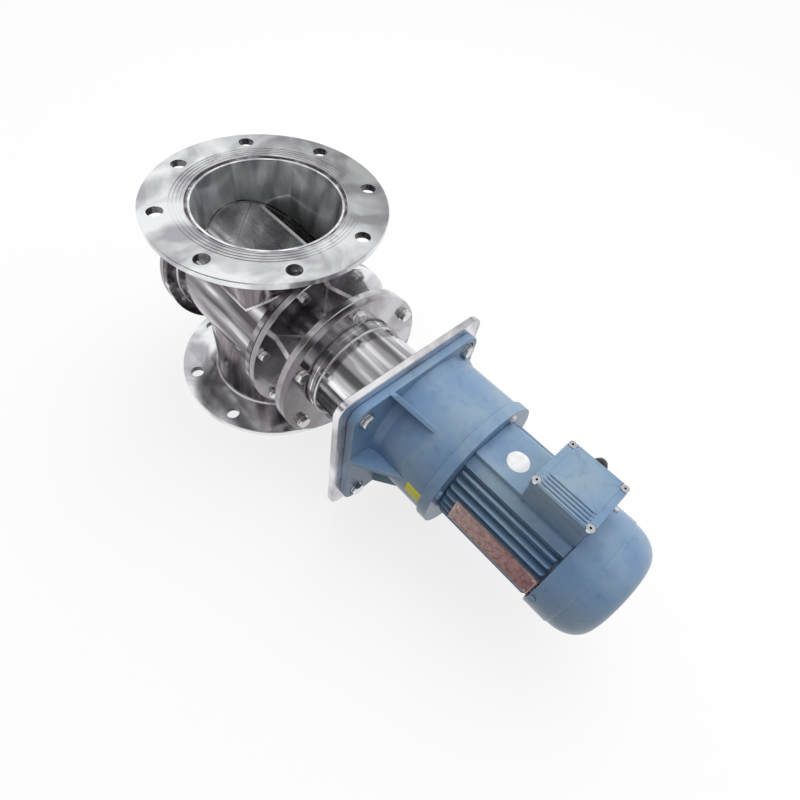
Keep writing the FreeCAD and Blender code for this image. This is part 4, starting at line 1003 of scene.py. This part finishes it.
class BlankLabels(bpy.types.Operator):
    """Lays the bare labels: the yellow one is a patch of the gearbox's cylinder, a grid of places along
    it and angles round it, and the round one a flat disc on the pad."""
    bl_idname = "valve.blank_labels"
    bl_label = "Stick on the bare labels"

    def execute(self, context):
        l = settings().labels
        outer = GEAR_HIGH[1] - MOTOR_Y
        rows = np.linspace(-l.width / 2, l.width / 2, 9)
        cols = np.linspace(-l.length / 2, l.length / 2, 13)
        a, b = np.meshgrid(cols, rows)
        turn = math.radians(l.tilt)
        along = l.place[0] + a * math.cos(turn) - b * math.sin(turn)
        angle = math.radians(l.place[1]) + (a * math.sin(turn) + b * math.cos(turn)) / outer
        film = 0.0001
        points = around(angle, outer + film) + MOTOR
        points[..., 0] = along
        piece("yellow_label", [sheet_of(points, wrap_cols=False)],
              label_print("label_yellow", (1.0, 0.9, 0.03)), wall=-film)
        radii = np.array([l.round, l.round, l.round - film, 0.0])
        rise = np.array([-film, film, 1.6 * film, 1.6 * film])
        place = (l.round_place[0], MOTOR_Y + l.round_place[1], FRAME_HIGH[2])
        piece("round_label", [sheet_of(turned(radii, rise, 64) + place)],
              label_print("label_white", (0.93, 0.93, 0.93)))
        return {"FINISHED"}


class PlateTrim(bpy.types.Operator):
    """Presses the raised border of the rating plate, a round wire along a rounded outline, and sets
    its four rivets, flat domes whose radius and rise are the cosine and sine of a quarter turn."""
    bl_idname = "valve.plate_trim"
    bl_label = "Trim the rating plate"

    def execute(self, context):
        r = settings().rating
        angle = math.radians(r.angle)
        out, up = around(angle), around(angle - TURN / 4)
        centre = MOTOR + out * r.radius + (r.start + r.length / 2, 0, 0)
        basis = [(1, 0, 0), up, out]
        inset, wire = 0.0017, 0.0007
        rivet_in, rivet_r, rivet_rise = 0.005, 0.0019, 0.0011
        loop = rounded_outline(r.length - 2 * inset, r.width - 2 * inset, 0.003, 6)
        path = np.column_stack([loop, np.zeros(len(loop))]) @ np.array(basis) + centre
        dense = np.linspace(0, 1, 8, endpoint=False)[:, None]
        following = np.roll(path, -1, axis=0)
        path = (path[:, None] * (1 - dense) + following[:, None] * dense).reshape(-1, 3)
        sheets = [carried_circle(path, way_along(path), wire, (0.21, -0.88, 0.42), 8, True)]
        turn = np.linspace(0, TURN / 4, 6)
        size, rise = rivet_r * np.cos(turn), rivet_rise * np.sin(turn)
        for sx, sy in ((-1, -1), (-1, 1), (1, -1), (1, 1)):
            a, b = sx * (r.length / 2 - rivet_in), sy * (r.width / 2 - rivet_in)
            local = turned(size, rise, 24) + (a, b, 0)
            floor = local[:1] * (0, 0, 1) + (a, b, -0.0003)
            local = np.concatenate([floor, local])
            sheets.append(sheet_of(local @ np.array(basis) + centre))
        metal = steel("rivet_metal", ORIGIN, "plain", ((0.3, 0.2, 0.18), (0.5, 0.42, 0.4)), 0.3,
                      edge=0.0)
        piece("rating_plate_trim", sheets, metal)
        return {"FINISHED"}


class FinishParts(bpy.types.Operator):
    """Gives every CAD node its metal, paint or rubber."""
    bl_idname = "valve.finish_parts"
    bl_label = "Finish the parts"

    def execute(self, context):
        left = set(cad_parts)
        for material, names in node_finishes().items():
            for name in names:
                dress(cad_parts[name], material)
                left.discard(name)
        if left:
            raise RuntimeError(f"no finish for {sorted(left)}")
        return {"FINISHED"}


def area_lamp(name, place, aim, energy, size):
    """A soft lamp that points at the object and that the metal doesn't mirror."""
    data = bpy.data.lights.new(name, "AREA")
    data.energy = energy
    data.size = size
    light = bpy.data.objects.new(name, data)
    light.location = place
    light.visible_glossy = False
    direction = np.array(place) - np.array(aim)
    light.rotation_euler = Euler((math.atan2(math.hypot(direction[0], direction[1]), direction[2]), 0,
                                  math.atan2(direction[0], -direction[1])))
    bpy.context.scene.collection.objects.link(light)


def seen_ray(tree):
    """One for camera, glossy and transmitted rays, and zero for the rays that light the object."""
    ray = add_node(tree, "LightPath").outputs
    seen = calc(tree, "MAXIMUM", ray["Is Camera Ray"], ray["Is Glossy Ray"])
    return calc(tree, "MAXIMUM", seen, ray["Is Transmission Ray"])


# Place from the front horizon, over the top, to the back one, and how bright the studio is there
PANELS = ((0.0, 0.85), (0.14, 0.75), (0.19, 0.16), (0.27, 0.12), (0.30, 0.95), (0.39, 1.0), (0.42, 0.35),
          (0.49, 0.30), (0.52, 1.0), (0.72, 1.0), (0.76, 0.45), (0.82, 0.35), (0.86, 0.9), (1.0, 1.0))
LIGHT_FROM = (0.0, 0.292, 0.956)
FILM_WIDTH = 36.0
FILM_SHIFT = (0.0097, -0.0239)
FLOOR_GREY = 0.22


def studio_world(strength):
    """A white studio. What the metal shows follows the angle of the view about X: long soft panels and
    dimmer gaps overhead, in line with the shaft, and plain white near the horizon. What lights the
    object is brightest above and behind it, and grows with the cosine to that direction."""
    world = bpy.data.worlds.new("studio")
    bpy.context.scene.world = world
    world.use_nodes = True
    tree = world.node_tree
    tree.nodes.clear()
    way = add_node(tree, "TexCoord").outputs["Generated"]
    parts = axes_of(tree, way)
    turn = level(tree, calc(tree, "ARCTAN2", parts["Y"], parts["Z"]), 0.0, 1.0, -TURN / 4, TURN / 4)
    panels = stops(tree, turn, [(place, (grey,) * 3) for place, grey in PANELS])
    height = level(tree, parts["Z"], 0.0, 1.0, 0.22, 0.34)
    shown_there = mixed(tree, height, WHITE, panels)
    shown_there = mixed(tree, add_node(tree, "LightPath").outputs["Is Camera Ray"], shown_there, WHITE)
    near = vector_step(tree, "DOT_PRODUCT", way, LIGHT_FROM, "Value")
    glow = level(tree, near, 0.02 * strength, 1.45 * strength, 0.1, 0.95)
    soft = add_node(tree, "Background", {"Color": WHITE})
    link(tree, glow, soft.inputs["Strength"])
    shown = add_node(tree, "Background", {"Strength": 1.0})
    link(tree, shown_there, shown.inputs["Color"])
    mix = add_node(tree, "MixShader")
    output = add_node(tree, "OutputWorld")
    link(tree, seen_ray(tree), mix.inputs["Fac"])
    link(tree, soft.outputs["Background"], mix.inputs[1])
    link(tree, shown.outputs["Background"], mix.inputs[2])
    link(tree, mix.outputs["Shader"], output.inputs["Surface"])


def white_floor(lift):
    """A matt white floor that the camera and the metal see lifted to white, with its shadows kept."""
    material, tree, shader = blank_material("floor_white")
    shader.inputs["Base Color"].default_value = (*(FLOOR_GREY,) * 3, 1)
    shader.inputs["Roughness"].default_value = 1.0
    shader.inputs["Specular IOR Level"].default_value = 0.0
    shader.inputs["Emission Color"].default_value = WHITE
    link(tree, calc(tree, "MULTIPLY", seen_ray(tree), lift), shader.inputs["Emission Strength"])
    return material


class SetStage(bpy.types.Operator):
    """Makes the pale floor, the soft light and the camera at the photograph's angle."""
    bl_idname = "valve.set_stage"
    bl_label = "Set the stage"

    def execute(self, context):
        s = settings().stage
        half, floor_z = 4.0, OUTLET_LOW[2] - 0.0005
        corners = np.array([(x * half, y * half, floor_z) for x, y in ((-1, -1), (1, -1), (1, 1), (-1, 1))])
        mesh = bpy.data.meshes.new("floor")
        mesh.from_pydata(corners.tolist(), [], [(0, 1, 2, 3)])
        floor = bpy.data.objects.new("floor", mesh)
        context.scene.collection.objects.link(floor)
        dress(floor, white_floor(s.lift))
        studio_world(s.sky)
        area_lamp("key_lamp", place=(0.0, 0.8, 2.1), aim=(0.2, 0, 0.15), energy=s.lamp, size=1.4)
        camera = bpy.data.objects.new("camera", bpy.data.cameras.new("camera"))
        camera.location = s.eye
        camera.rotation_euler = Euler(s.turn)
        camera.data.lens = s.lens
        camera.data.sensor_width = FILM_WIDTH
        camera.data.shift_x, camera.data.shift_y = FILM_SHIFT
        camera.data.clip_start = 0.01
        context.scene.collection.objects.link(camera)
        context.scene.camera = camera
        context.scene.view_settings.view_transform = "Standard"
        return {"FINISHED"}


class ValvePanel(bpy.types.Panel):
    """Lists the steps in the order that they run."""
    bl_label = "Valve"
    bl_idname = "VALVE_PT_steps"
    bl_space_type = "VIEW_3D"
    bl_region_type = "UI"
    bl_category = "Valve"

    def draw(self, context):
        for step in STEPS:
            self.layout.operator(step.bl_idname)


STEPS = (FinishParts, WeldBeads, FanCowl, CableGland, MotorFrame, LidPanel, BlankLabels, PlateTrim,
         SetStage)
CLASSES = (SteelSettings, PaintSettings, WeldSettings, CowlSettings, MotorSettings, LidSettings,
           LabelSettings, RatingSettings, StageSettings, ValveSettings, *STEPS, ValvePanel)


def register():
    for cls in CLASSES:
        bpy.utils.register_class(cls)
    bpy.types.Scene.valve = bpy.props.PointerProperty(type=ValveSettings)


def unregister():
    del bpy.types.Scene.valve
    for cls in reversed(CLASSES):
        bpy.utils.unregister_class(cls)


def main():
    """Registers the add-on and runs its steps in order."""
    register()
    for step in STEPS:
        group, name = step.bl_idname.split(".")
        getattr(getattr(bpy.ops, group), name)()


if __name__ == "__main__":
    main()
